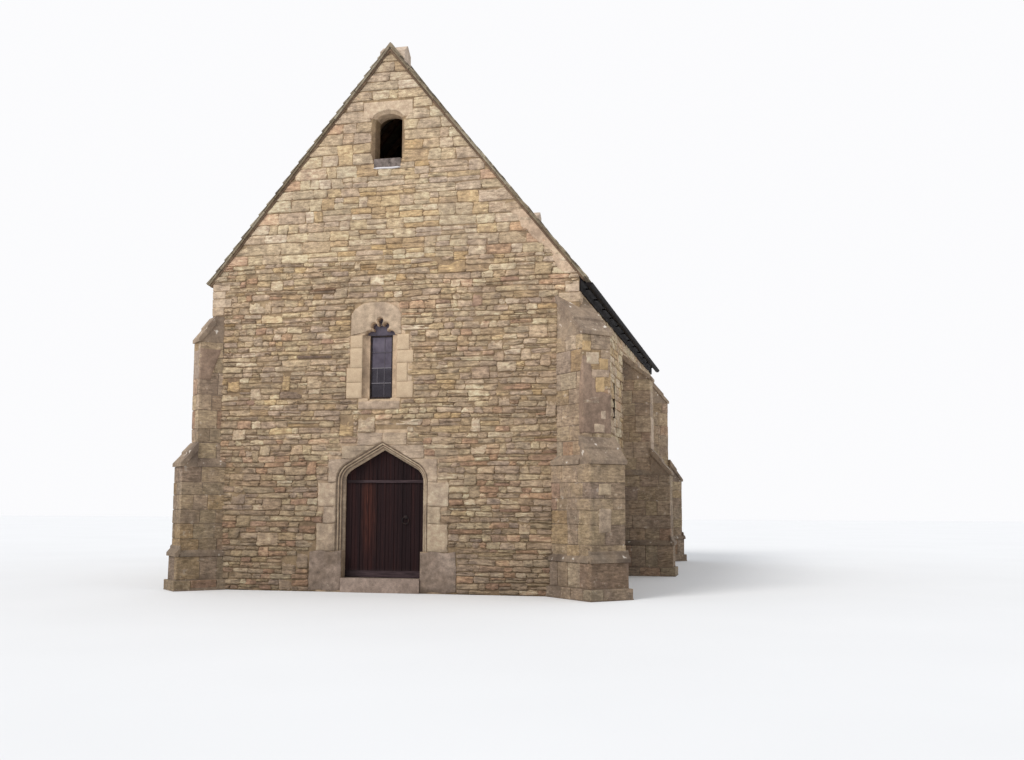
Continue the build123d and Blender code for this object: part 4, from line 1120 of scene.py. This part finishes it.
def plate(start, stop, along, lift, rng, across=False, columns=5, arris=0.007, rough=0.0012, wave=0.0):
    """Point grid of one dressed stone.

    Row k lies at along[k] and runs from start[k] to stop[k]. The height over the wall is lift, less on the
    outer ring. across swaps the two directions, so that rows stand upright. wave bends the rows like a slow
    sine.
    """
    share = np.concatenate([[0, 0], np.linspace(0, 1, columns + 2)[1:-1], [1, 1]])
    inset = np.minimum(arris / np.maximum(np.abs(stop - start), 0.03), 0.3)[:, None]
    t = np.clip(share[None, :], inset, 1 - inset)
    t = np.concatenate([0 * inset, 0 * inset, t[:, 1:-1], 1 + 0 * inset, 1 + 0 * inset], axis=1)
    rows = np.concatenate([[0, 0], np.arange(len(along)), [len(along) - 1] * 2])
    shift = np.concatenate([[0, 0, arris], np.zeros(len(along) - 2), [-arris, 0, 0]])
    first = start[rows][:, None] + (stop - start)[rows][:, None] * t[rows]
    second = np.broadcast_to((along[rows] + shift)[:, None], first.shape)
    second = second + wave * np.sin(first * 17.0 + rng.uniform(0, 6))
    edge_rows = np.array([-0.012, lift - arris] + [lift] * len(along) + [lift - arris, -0.012])
    edge_columns = np.array([-0.012, lift - arris] + [lift] * (first.shape[1] - 4) + [lift - arris, -0.012])
    height = np.minimum(edge_rows[:, None], edge_columns[None, :])
    height = height + rng.normal(0, rough, height.shape) * (height > 0)
    u, v = (second, first) if across else (first, second)
    return u, v, height


def directions(angles):
    """Unit vectors at the given angles."""
    return np.stack([np.cos(angles), np.sin(angles)], axis=1)


def grid_quads(rows, columns):
    """Faces between the points of a grid, counter-clockwise where columns run right and rows run up."""
    index = np.arange(rows * columns).reshape(rows, columns)
    corners = index[:-1, :-1], index[:-1, 1:], index[1:, 1:], index[1:, :-1]
    return np.stack(corners, axis=-1).reshape(-1, 4)


def plate_faces(u, v, h, place, tone, rng, flip):
    """Points and quads of one plate, turned outwards."""
    points = place(u, v, h).reshape(-1, 3)
    quads = grid_quads(*u.shape)
    if flip:
        quads = quads[:, ::-1]
    stone = stone_numbers(points.shape[:1], tone, rng.uniform(0.25, 0.62), 0.5)
    return points, quads, np.zeros((0, 3), int), stone


def panel(u0, u1, v0, v1, place, tone, rng, lift=0.015):
    """A plain rectangular plate."""
    along = np.linspace(v0, v1, 5)
    made = plate(np.full(5, u0), np.full(5, u1), along, lift, rng)
    return plate_faces(*made, place, tone, rng, False)


# %% Doorway stones
arch_slope = (door_top - door_spring) / door_half
arch_run = np.sqrt(1 + arch_slope**2)
moulding = 0.115


def arch_edge(levels, grow=moulding + 0.002):
    """Half width of the doorway's outline, grown outwards, at each level; zero above its point.

    Two straight lines, upright and sloping, meet in an arc that touches both.
    """
    stretch = grow * arch_run
    side, radius = door_half + grow, haunch + grow
    corner, apex = door_spring + stretch - grow * arch_slope, door_top + stretch
    angle = np.arccos(-arch_slope / arch_run)
    touch = radius / np.tan(angle / 2)
    low = corner - touch
    high = corner + touch * arch_slope / arch_run
    arc = side - radius + np.sqrt(np.maximum(radius**2 - (levels - low) ** 2, 0))
    line = np.maximum((apex - levels) / arch_slope, 0)
    return np.where(levels <= low, side, np.where(levels <= high, arc, line))


def doorway_plates(rng):
    """The two foot stones, then the jamb, haunch and head stones on both sides of the doorway."""
    sets = []
    tones = (0.22, 0.72, 0.66, 0.76, 0.64, 0.60, 0.68)
    for (z0, z1, left, right), tone in zip(door_stones, tones):
        for hand, outer in ((-1, left), (1, right)):
            low = max(z0, 0.02)
            along = np.linspace(low + 0.003, z1 - 0.004, 22 if z1 > 1.8 else 8)
            inner = np.full(len(along), 0.652) if z1 < 0.7 else arch_edge(along)
            inner = door_x + hand * np.maximum(inner, 0.003)
            worn_and_lit = outer + hand * rng.uniform(-0.016, 0.006, len(along))
            made = plate(worn_and_lit, inner, along, 0.016, rng, rough=0.004, wave=0.014 if z1 < 0.7 else 0.004)
            sets.append(plate_faces(*made, front, tone + rng.uniform(-0.06, 0.06), rng, hand > 0))
    return joined(sets[:2]), joined(sets[2:])


feet, above = doorway_plates(rng)
dress("doorway_foot_stones", feet, foot_stone)
dress("doorway_stones", above, dressed_face)

# %% [markdown]
# The run of mouldings round the doorway is two rolls between three hollows. Its colour paints shade into
# the hollows and keeps the rolls pale, and that is what makes such a moulding readable from far away. The
# profile is carried along the frame a little in front of the imported solid, and each of its points has a
# tone of its own.

# %% Door mouldings
# points of the profile: width share, depth share and tone; the tone paints shade into the hollows and keeps
# the rolls pale
moulding_profile = np.array([
    (0.99, 0.00, 0.75), (0.965, 0.06, 0.30), (0.90, 0.165, 0.02), (0.82, 0.170, 0.12), (0.77, 0.105, 0.95),
    (0.70, 0.085, 1.0), (0.65, 0.16, 0.70), (0.635, 0.25, 0.08), (0.61, 0.36, 0.0), (0.52, 0.395, 0.10),
    (0.47, 0.335, 0.95), (0.41, 0.335, 1.0), (0.37, 0.42, 0.70), (0.355, 0.50, 0.08), (0.33, 0.62, 0.0),
    (0.25, 0.655, 0.30), (0.12, 0.80, 0.80), (0.0, 0.97, 0.75),
])


def door_mouldings(rng, depth=0.140, samples=60, foot=0.645):
    """Both halves of the moulding: the frame's line, shifted outwards by the profile's width and inwards by
    its depth.

    The line runs up the jamb, round an arc that touches both straight parts, and up the slope to the
    middle, where each point of the profile is cut off on the line of symmetry.
    """
    lean = np.arctan(arch_slope)
    turn = np.pi / 2 - lean
    low = door_spring - haunch * np.tan(turn / 2)
    centre = np.array((door_half - haunch, low))
    angle = np.linspace(0, turn, 14)
    arc = centre + haunch * directions(angle)
    jamb = np.stack([np.full(samples, door_half), np.linspace(foot, low, samples + 1)[:-1]], axis=1)
    rise = np.linspace(0, 1, 26)[1:, None]
    line = np.concatenate([jamb, arc, arc[-1] + (np.array((0.0, door_top)) - arc[-1]) * rise])
    out = directions(np.concatenate([np.zeros(samples), angle, np.full(25, turn)]))
    uneven = rng.normal(0, 0.0006, (len(line), len(moulding_profile)))
    width = (moulding_profile[:, 0] * moulding)[None, :] + uneven
    flat = line[:, None, :] + out[:, None, :] * width[..., None]
    flat[-1, :, 0] = 0.0
    flat[-1, :, 1] = door_top + width[-1] * arch_run
    flat[..., 0] = np.maximum(flat[..., 0], 0.0)
    deep = np.broadcast_to((moulding_profile[:, 1] * depth - 0.002)[None, :], width.shape)
    sets = []
    for hand in (-1, 1):
        points = np.stack([door_x + hand * flat[..., 0], -half_length + deep, flat[..., 1]], axis=-1)
        quads = grid_quads(*points.shape[:2])
        worn_and_lit = rng.normal(0, 0.05, (len(line), 1)) + 0.10 * np.sin(line[:, 1:2] * 9.0 + rng.uniform(0, 6))
        tone = np.clip(moulding_profile[:, 2][None, :] * 0.85 + worn_and_lit, 0, 1).ravel()
        sets.append((points.reshape(-1, 3), quads[:, ::-1] if hand < 0 else quads, np.zeros((0, 3), int),
                     stone_numbers(tone.shape, tone, 0.5)))
    return joined(sets)


dress("door_mouldings", door_mouldings(rng), dressed_face)

# %% Lancet stones
light_half, splay, frame_inner = 0.192, 0.10, 0.166
lancet_jamb_stones = (
    (-1, 3.068, 3.322, 0.558, 0.84), (-1, 3.326, 3.556, 0.558, 0.76), (-1, 3.560, 3.880, 0.498, 0.82),
    (-1, 3.884, 4.087, 0.498, 0.76), (1, 3.068, 3.322, 0.568, 0.80), (1, 3.326, 3.626, 0.468, 0.80),
    (1, 3.630, 3.828, 0.568, 0.80), (1, 3.832, 4.087, 0.498, 0.81),
)
lobes = ((0.0, 0.230, 0.045), (-0.098, 0.143, 0.050), (0.098, 0.143, 0.050), (-0.165, -0.020, 0.090),
         (0.165, -0.020, 0.090))
# the point in a lancet's head from which its outlines are followed, over the top of the light
eye = np.array((0.0, 0.10))


def cusp_edge(angles, grow=0.012):
    """Distance from a point in the lancet's head to the cusped outline, the furthest circle or box in each
    direction.
    """
    ray = directions(angles)
    reach = np.full(len(angles), 0.05)
    for x, z, radius in lobes:
        away = np.array((x, z)) - eye
        middle = ray @ away
        spare = (radius + grow) ** 2 - (away @ away - middle**2)
        reach = np.maximum(reach, np.where((spare > 0) & (middle > 0),
                                           middle + np.sqrt(np.maximum(spare, 0)), 0))
    box_x, box_z = 0.118 + grow, 0.143
    with np.errstate(divide="ignore"):
        to_side = np.where(np.abs(ray[:, 0]) > 1e-9, box_x / np.abs(ray[:, 0]), 9.0)
        to_top = np.where(ray[:, 1] > 1e-9, (box_z - eye[1]) / ray[:, 1],
                          np.where(ray[:, 1] < -1e-9, -eye[1] / ray[:, 1], 9.0))
    return np.maximum(reach, np.minimum(to_side, to_top))


def head_plate(u0, place, rng):
    """Head stone's face as rings between the cusped outline and the stone's own outline."""
    right = np.stack([head_right, head_levels], axis=1)
    left = np.stack([head_left, head_levels], axis=1)
    outline = np.concatenate([right, left[::-1]])
    start, stop = np.arctan2(-0.097, head_right[0]), np.pi + np.arctan2(0.097, -head_left[0])
    angles = np.linspace(start, stop, 97)
    ray = directions(angles)
    inner = cusp_edge(angles)
    falls = ray[:, 1] < -1e-6
    floor_hit = np.where(falls, (0.004 - eye[1]) / np.where(falls, ray[:, 1], -1), 9.0)
    inner = np.minimum(inner, floor_hit)
    outer = np.zeros(len(angles))
    for a, b in zip(outline[:-1], outline[1:]):
        edge = b - a
        cross = ray[:, 0] * edge[1] - ray[:, 1] * edge[0]
        cross = np.where(np.abs(cross) < 1e-12, 1e-12, cross)
        away = a - eye
        t = (away[0] * edge[1] - away[1] * edge[0]) / cross
        s = (away[0] * ray[:, 1] - away[1] * ray[:, 0]) / cross
        outer = np.where((t > 0) & (s > -1e-6) & (s < 1 + 1e-6), np.maximum(outer, t), outer)
    outer = np.maximum(np.minimum(np.where(outer > 0, outer, inner + 0.02), floor_hit), inner + 0.002)
    share = np.array((0, 0, 0.04, 0.2, 0.4, 0.6, 0.8, 0.965, 1, 1))
    lift = np.array((-0.012, 0.008, 0.015, 0.015, 0.015, 0.015, 0.015, 0.015, 0.008, -0.012))
    reach = inner[None, :] + (outer - inner)[None, :] * share[:, None]
    u = u0 + eye[0] + reach * ray[:, 0][None, :]
    v = lancet_top + eye[1] + reach * ray[:, 1][None, :]
    h = np.broadcast_to(lift[:, None], u.shape) + rng.normal(0, 0.0008, u.shape)
    return plate_faces(u, v, h, place, 0.50 + rng.uniform(-0.04, 0.04), rng, True)


lancet_places = [("front", lancet_x), ("back", -lancet_x)]
lancet_places += [("right", -bay), ("right", bay), ("left", -bay), ("left", bay)]
sets, weathered = [], []
for side, u in lancet_places:
    place = wall_place(side)
    for hand, z0, z1, outer, tone in lancet_jamb_stones:
        edges = sorted((u + hand * outer, u + hand * (light_half + splay + 0.001)))
        sets.append(panel(*edges, z0, z1, place, tone + rng.uniform(-0.04, 0.04), rng))
    weathered.append(panel(u - 0.348, u + 0.345, 2.888, 3.014, place, 0.45, rng))
    weathered.append(head_plate(u, place, rng))
dress("lancet_stones", joined(sets), clean_face)
dress("lancet_head_stones", joined(weathered), dressed_face)

# %% Gable opening head stones
sets = []
for side, u in (("front", opening_x), ("back", -opening_x)):
    along = np.linspace(u - 0.423, u + 0.423, 45)
    inside = np.clip(1 - ((along - u) / 0.279) ** 2, 0, None)
    low = np.maximum(7.701, 7.6467 + 0.176 * np.sqrt(inside) * (inside > 0))
    made = plate(low, np.full(len(along), 7.976), along, 0.015, rng, across=True)
    sets.append(plate_faces(*made, wall_place(side), 0.78, rng, True))
dress("gable_head_stones", joined(sets), dressed_face)

# %% [markdown]
# ## Repairs
# Later repairs tell the building's age: cement rendered over the worn face of the near buttress and over
# the side of the far one, blocks let into them, and mortar smeared under the verge. They are the same
# plates as the dressed stones, a few millimetres in front of the blocks, with edges that follow what the
# trowel left.

# %% Repairs on the buttresses


def buttress_face(corner, face, offset):
    """Function that carries coordinates on one face of a buttress into the frame: u along it, v up, h
    outwards.

    face is 0 for the end, where u runs across, and -1 or 1 for a side, where u runs outwards.
    """
    x, y, turn = corners[corner][:3]
    carry = buttress_frame(x, y, turn)

    def place(u, v, h):
        axes = (offset + h, u, v) if face == 0 else (u, face * (offset + h), v)
        return carry(np.stack(axes, axis=-1))

    return place


def patch(rows, place, tone, rng, flip=False, lift=0.016, hue=0.5):
    """A plate through rows (v, start, stop), its edges ragged by a few millimetres."""
    rows = np.array(rows)
    along = np.linspace(rows[0, 0], rows[-1, 0], max(6, int((rows[-1, 0] - rows[0, 0]) / 0.03)))
    start = np.interp(along, rows[:, 0], rows[:, 1]) + rng.normal(0, 0.004, len(along))
    stop = np.interp(along, rows[:, 0], rows[:, 2]) + rng.normal(0, 0.004, len(along))
    made = plate(start, stop, along, lift, rng, rough=0.0008, wave=0.006)
    points, quads, tris, stone = plate_faces(*made, place, tone, rng, flip)
    stone[:, 1] = hue
    return points, quads, tris, stone


near_end = buttress_face("front_right", 0, 0.43)
near_side = buttress_face("front_right", -1, 0.25)
near_low = buttress_face("front_right", 0, 0.69)
far_side = buttress_face("front_left", 1, 0.155)
far_end = buttress_face("front_left", 0, 0.23)
middle_end = buttress_face("right_middle", 0, 0.55)
cement_sets = [
    patch([(2.44, -0.262, 0.262), (3.04, -0.262, 0.262), (3.08, -0.262, -0.03), (3.26, -0.262, -0.04),
           (3.29, -0.262, -0.10), (3.46, -0.262, -0.10), (3.60, -0.262, -0.21)], near_end, 0.5, rng),
    patch([(2.44, 0.35, 0.438), (2.9, 0.33, 0.438), (3.3, 0.36, 0.438), (3.5, 0.40, 0.438)], near_side, 0.5,
          rng),
    patch([(3.40, 0.05, 0.236), (3.55, 0.02, 0.236), (3.75, -0.06, 0.236), (3.92, -0.12, 0.236)], far_side,
          0.5, rng, flip=True),
]
dress("cement_repairs", joined(cement_sets), cement)
repairs = {yellow: [
    patch([(v0, u0, u1), (v1, u0, u1)], place, tone, rng, lift=lift, hue=hue)
    for place, u0, u1, v0, v1, tone, hue, lift in (
        (near_end, -0.255, -0.11, 3.68, 3.83, 0.66, 1.0, 0.017),
        (near_end, -0.20, 0.04, 3.48, 3.66, 0.84, 0.5, 0.017),
        (near_end, 0.05, 0.21, 3.41, 3.58, 0.62, 1.0, 0.017),
        (near_end, -0.095, 0.23, 3.29, 3.405, 0.48, 0.1, 0.017),
        (near_end, -0.025, 0.14, 3.06, 3.285, 0.62, 1.0, 0.018),
        (near_end, 0.07, 0.16, 2.65, 2.78, 0.66, 0.3, 0.019),
        (near_end, -0.06, 0.14, 2.45, 2.58, 0.70, 0.4, 0.019),
        (near_low, -0.17, 0.06, 1.52, 1.68, 0.66, 0.8, 0.017),
        (near_low, -0.17, 0.05, 0.97, 1.32, 0.62, 0.4, 0.017),
        (far_end, -0.15, 0.158, 3.42, 3.66, 0.30, 0.28, 0.016),
        (far_end, -0.15, 0.158, 3.665, 3.90, 0.26, 0.28, 0.016),
        (middle_end, -0.268, 0.262, 2.1, 2.62, 0.62, 0.2, 0.016),
        (middle_end, -0.268, 0.262, 2.625, 3.12, 0.70, 0.2, 0.016),
    ) if (hue == 1.0) == yellow
] for yellow in (False, True)}
dress("repair_blocks", joined(repairs[False]), dressed_face)
dress("yellow_repair_blocks", joined(repairs[True]), yellow_face)

# %% Dark strip on the right wall
made = patch([(2.99, -1.73, -1.68), (3.3, -1.72, -1.66), (3.65, -1.73, -1.69)], wall_place("right"), 0.0,
             rng, lift=0.028)
dress("open_joint", made, dark_strip)

# %% Mortar under the right verge
levels = np.linspace(4.99, 6.02, 40)
verge_line = ridge_shift + (gable_apex - levels) / slope - 0.012
smear = 0.12 + 0.11 * np.abs(np.sin(levels * 5.3)) + 0.06 * (levels > 5.7)
smear = smear + rng.normal(0, 0.008, len(levels))
made = plate(verge_line - smear, verge_line, levels, 0.017, rng, wave=0.008)
dress("verge_smear", plate_faces(*made, front, 0.6, rng, False), old_mortar)

# %% [markdown]
# ## Windows and door
# Behind the stone stands an iron frame with the leaded glass. Three saddle bars and two upright leads show
# in the photograph, dark at the edges and pale where they catch the light.

# %% Window iron and leads


def flat_boxes(rows, place, tones, rng, bevel=0.002, shake=0.0003):
    """Boxes given as (u0, u1, v0, v1, h0, h1) on a wall."""
    rows = np.array(rows)
    carry = lambda points: place(points[..., 0], points[..., 1], points[..., 2])
    return outwards(blocks(rows[:, 0::2], rows[:, 1::2], tones, rng, carry, bevel, shake))


frames, leads = [], []
low, high, front_face, back_face = 3.068, 4.088, -0.094, -0.109
for side, u in lancet_places:
    place = wall_place(side)
    frames.append(flat_boxes([
        (u - light_half + 0.001, u - frame_inner, low, high, back_face, front_face),
        (u + frame_inner, u + light_half - 0.001, low, high, back_face, front_face),
        (u - frame_inner, u + frame_inner, low, low + 0.024, back_face, front_face),
        (u - frame_inner, u + frame_inner, high - 0.026, high, back_face, front_face),
    ], place, np.zeros(4), rng))
    bars = [(u - frame_inner, u + frame_inner, z, z + w, back_face, -0.098)
            for z, w in ((3.308, 0.014), (3.553, 0.014), (3.812, 0.006))]
    bars += [(u + x - 0.004, u + x + 0.004, a, b, back_face, -0.102) for x, a, b in (
        (0.045, 3.094, 3.306), (0.045, 3.324, 3.551), (0.045, 3.569, 4.060), (-0.075, 3.324, 3.551))]
    leads.append(flat_boxes(bars, place, np.array([0.26, 0.30, 0.05, 0.16, 0.18, 0.0, 0.22]), rng))
dress("lancet_iron_frames", joined(frames), iron, smooth=False)
dress("lancet_leads", joined(leads), pale_lead, smooth=False)

# %% Rolled lip of the lead trays


def tube(start, stop, radius, rings=9, sides=10, sag=0.0, rng=None):
    """A closed round bar: a circle carried from start to stop, its ends drawn in to a point."""
    start, stop = np.array(start, float), np.array(stop, float)
    direction = (stop - start) / np.linalg.norm(stop - start)
    helper = np.array((0, 0, 1.0)) if abs(direction[2]) < 0.9 else np.array((1.0, 0, 0))
    e1 = np.cross(direction, helper)
    e1 /= np.linalg.norm(e1)
    e2 = np.cross(direction, e1)
    t = np.linspace(0, 1, rings)
    size = radius * np.minimum(1, np.minimum(t, 1 - t) * rings * 0.7 + 0.35)
    angle = np.linspace(0, 2 * np.pi, sides, endpoint=False)
    circle = np.cos(angle)[None, :, None] * e1 + np.sin(angle)[None, :, None] * e2
    middle = start + (stop - start) * t[:, None] - np.array((0, 0, 1.0)) * (sag * 4 * t * (1 - t))[:, None]
    if rng is not None:
        middle = middle + rng.normal(0, radius * 0.12, middle.shape)
    points = (middle[:, None, :] + circle * size[:, None, None]).reshape(-1, 3)
    index = np.arange(rings * sides).reshape(rings, sides)
    after = np.roll(index, -1, axis=1)
    quads = np.stack([index[:-1], index[1:], after[1:], after[:-1]], axis=-1).reshape(-1, 4)
    points = np.concatenate([points, [start], [stop]])
    a, b = rings * sides, rings * sides + 1
    tris = np.concatenate([
        np.stack([index[0], after[0], np.full(sides, a)], axis=1),
        np.stack([after[-1], index[-1], np.full(sides, b)], axis=1),
    ])
    return points, quads, tris, stone_numbers(points.shape[:1])


lips = [tube((opening_x - 0.232, y, 6.846), (opening_x + 0.232, y, 6.842), 0.016, sag=0.004, rng=rng)
        for y in (-5.618, 5.618)]
dress("lead_tray_lips", joined(lips), pale_lead)

# %% Door beads
fillet_pitch = (door_half - 0.082) / 4
bead_lines = door_x + fillet_pitch * (np.arange(-4, 4) + 0.5)
leaf_front = -5.430
beads = []
for x in bead_lines:
    top = door_top - abs(x - door_x) * arch_slope - 0.03
    for z0, z1 in ((0.335, 1.715), (1.765, top)):
        if z1 - z0 > 0.05:
            beads.append(tube((x, leaf_front, z0), (x, leaf_front, z1), 0.007, rings=5, sides=8))
piece = surface("door_beads", *joined(beads))
piece.data.materials.append(oak.material)
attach(piece, "door")
print("door beads:", len(beads))

# %% [markdown]
# ## Roof
# Stone tiles lie in courses that get narrower towards the ridge. Each tile is a thin slab: a top, a worn
# lower edge of three points and two sides, tilted so that it rests on the course below. At the gables the
# tiles run over a mortar bed and a lower layer of slabs, and stone saddles cover the ridge.

# %% Slope coordinates


def slope_place(hand):
    """Function that carries (y, distance up the slope, height over it) into the chapel's frame."""
    foot_x = hand * (half_width + 0.06)
    foot_z = gable_apex - abs(foot_x - ridge_shift) * slope

    def place(y, s, h):
        x = foot_x - hand * s * np.cos(pitch) + hand * h * np.sin(pitch)
        return np.stack([x, y + 0 * x, foot_z + s * np.sin(pitch) + h * np.cos(pitch)], axis=-1)

    return place, abs(foot_x - ridge_shift) / np.cos(pitch)


def tiles(hand, rng):
    """All tiles of one slope."""
    place, length = slope_place(hand)
    gauge = np.linspace(0.25, 0.115, 40)
    tiles_end = 5.66
    starts = np.concatenate([[0], np.cumsum(gauge)])
    starts = starts[starts < length - 0.14]
    courses = []
    for k, s0 in enumerate(starts):
        g = gauge[k]
        width = 0.20 + 0.5 * g
        ends = -tiles_end + np.cumsum(rng.uniform(0.6, 1.45, 90) * width)
        ends = ends[ends < tiles_end - 0.4 * width]
        edges = np.concatenate([[-tiles_end], ends, [tiles_end]])
        left, right = edges[:-1] + 0.002, edges[1:] - 0.002
        n = len(left)
        slip = rng.uniform(-0.008, 0.008, n)
        thick = rng.uniform(0.018, 0.028, n)
        base = 0.046 + rng.uniform(-0.002, 0.004, n)
        top_s = np.minimum(s0 + 1.14 * g, length - 0.03)
        mid = (left + right) / 2 + rng.uniform(-0.1, 0.1, n) * width
        row = np.stack([left, mid, right], axis=1)
        nick = rng.uniform(-0.004, 0.006, (n, 3))
        s = np.stack([np.full((n, 3), top_s), s0 + slip[:, None] + nick, s0 + slip[:, None] + nick - 0.003],
                     axis=1)
        lift = (base + thick)[:, None] + rng.uniform(-0.001, 0.002, (n, 3))
        h = np.stack([lift - 0.026, lift, np.broadcast_to(base[:, None] - 0.006, (n, 3))], axis=1)
        courses.append((np.stack([row, row, row], axis=1), s, h, rng.random(n)))
    y, s, h, tone = (np.concatenate(part) for part in zip(*courses))
    points = place(y, s, h).reshape(-1, 9, 3)
    quads = np.array([(3, 4, 1, 0), (4, 5, 2, 1), (6, 7, 4, 3), (7, 8, 5, 4)])
    tris = np.array([(6, 3, 0), (8, 2, 5)])
    if hand < 0:
        quads, tris = quads[:, ::-1], tris[:, ::-1]
    wear = np.array((0, 0, 0, 1, 1, 1, 1, 1, 1))
    stone = stone_numbers(points.shape[:2], tone[:, None], share=wear)
    return repeated(points, quads, tris, stone)


for hand, name in ((-1, "left"), (1, "right")):
    dress(f"{name}_roof_tiles", tiles(hand, rng), roof_stone, smooth=False)

# %% Verges
for end, name in ((-1, "front"), (1, "back")):
    bed_sets, slab_sets = [], []
    for hand in (-1, 1):
        place, length = slope_place(hand)
        carry = lambda points, place=place: place(points[..., 1], points[..., 0], points[..., 2])
        y_in, y_bed, y_slab = end * 5.43, end * 5.624, end * 5.65
        edges = np.concatenate([[0.0], np.cumsum(rng.uniform(0.22, 0.42, 30))])
        edges = np.append(edges[edges < length - 0.12], length)
        tip_ys = sorted((end * 5.45, end * 5.62))
        tip = blocks([(length - 0.24, tip_ys[0], 0.030)], [(length + 0.095, tip_ys[1], 0.083)], [0.85], rng,
                     carry, bevel=0.006, shake=0.002)
        for sets, y_out, h0, h1, gap in ((bed_sets, y_bed, -0.022, 0.016, 0.0),
                                         (slab_sets, y_slab, 0.013, 0.046, 0.002)):
            ys = sorted((y_in, y_out))
            low = [(a + gap, ys[0], h0) for a in edges[:-1]]
            high = [(b - gap, ys[1], h1) for b in edges[1:]]
            made = blocks(low, high, 0.6 + 0.4 * rng.random(len(low)), rng, carry, bevel=0.004, shake=0.003)
            sets.append(outwards(made))
        slab_sets.append(outwards(tip))
    piece = dress(f"{name}_verge_bed", joined(bed_sets), bed, smooth=False)
    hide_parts(f"verge_{name}")
    dress(f"{name}_verge_slabs", joined(slab_sets), roof_stone, smooth=False)

# %% Ridge saddles


def saddles(y0, y1, rng, wing=0.17, low=0.060, high=0.094):
    """Ridge stones as a bent profile carried a short way along the ridge, one after another."""
    count = int(round((y1 - y0) / 0.46))
    edges = np.linspace(y0, y1, count + 1)
    edges[1:-1] += rng.uniform(-0.03, 0.03, count - 1)
    across, down = wing * np.cos(pitch), wing * np.sin(pitch)
    lift_low, lift_high = low / np.cos(pitch), high / np.cos(pitch)
    profile = np.array([
        (-across, lift_low - down), (-across - 0.012, lift_high - down - 0.006), (-0.03, lift_high - 0.026),
        (0, lift_high - 0.012), (0.03, lift_high - 0.026), (across + 0.012, lift_high - down - 0.006),
        (across, lift_low - down), (0, lift_low),
    ])
    shift = rng.uniform(-0.004, 0.004, (count, 1, 2))
    ends = np.stack([edges[:-1] + 0.004, edges[1:] - 0.004], axis=1)
    flat = profile[None] + shift + rng.uniform(-0.002, 0.002, (count, 8, 2))
    points = np.zeros((count, 2, 8, 3))
    points[..., 0] = ridge_shift + flat[:, None, :, 0]
    points[..., 1] = ends[:, :, None]
    points[..., 2] = gable_apex + flat[:, None, :, 1]
    ring = np.arange(8)
    after = np.roll(ring, -1)
    sides = np.stack([ring, ring + 8, after + 8, after], axis=1)
    cap_quads, cap_tris = np.array([(0, 1, 2, 7), (7, 4, 5, 6)]), np.array([(7, 2, 3), (7, 3, 4)])
    quads = np.concatenate([sides, cap_quads, cap_quads[:, ::-1] + 8])
    tris = np.concatenate([cap_tris, cap_tris[:, ::-1] + 8])
    stone = stone_numbers((count, 16), rng.random(count)[:, None])
    return repeated(points.reshape(count, 16, 3), quads, tris, stone)


piece = dress("ridge_saddles", saddles(-5.17, 5.285, rng), roof_stone, smooth=False)
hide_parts("ridge_capping")

# %% [markdown]
# ## Floor inside
# The floor shows when the door stands open: worn slabs in staggered rows, eight millimetres over the packed
# floor.

# %% Floor slabs
low, high = [], []
for k, y in enumerate(np.arange(-4.74, 4.7, 0.55)):
    edges = np.concatenate([[-2.24], -2.24 + np.cumsum(rng.uniform(0.45, 0.8, 9))])
    edges = np.append(edges[edges < 1.95], 2.24)
    low += [(a + 0.004, y, 0.17) for a in edges[:-1]]
    high += [(b - 0.004, min(y + 0.542, 4.74), 0.2075) for b in edges[1:]]
made = blocks(low, high, rng.random(len(low)), rng, here, bevel=0.004, shake=0.001)
dress("floor_slabs", made, paving, smooth=False)
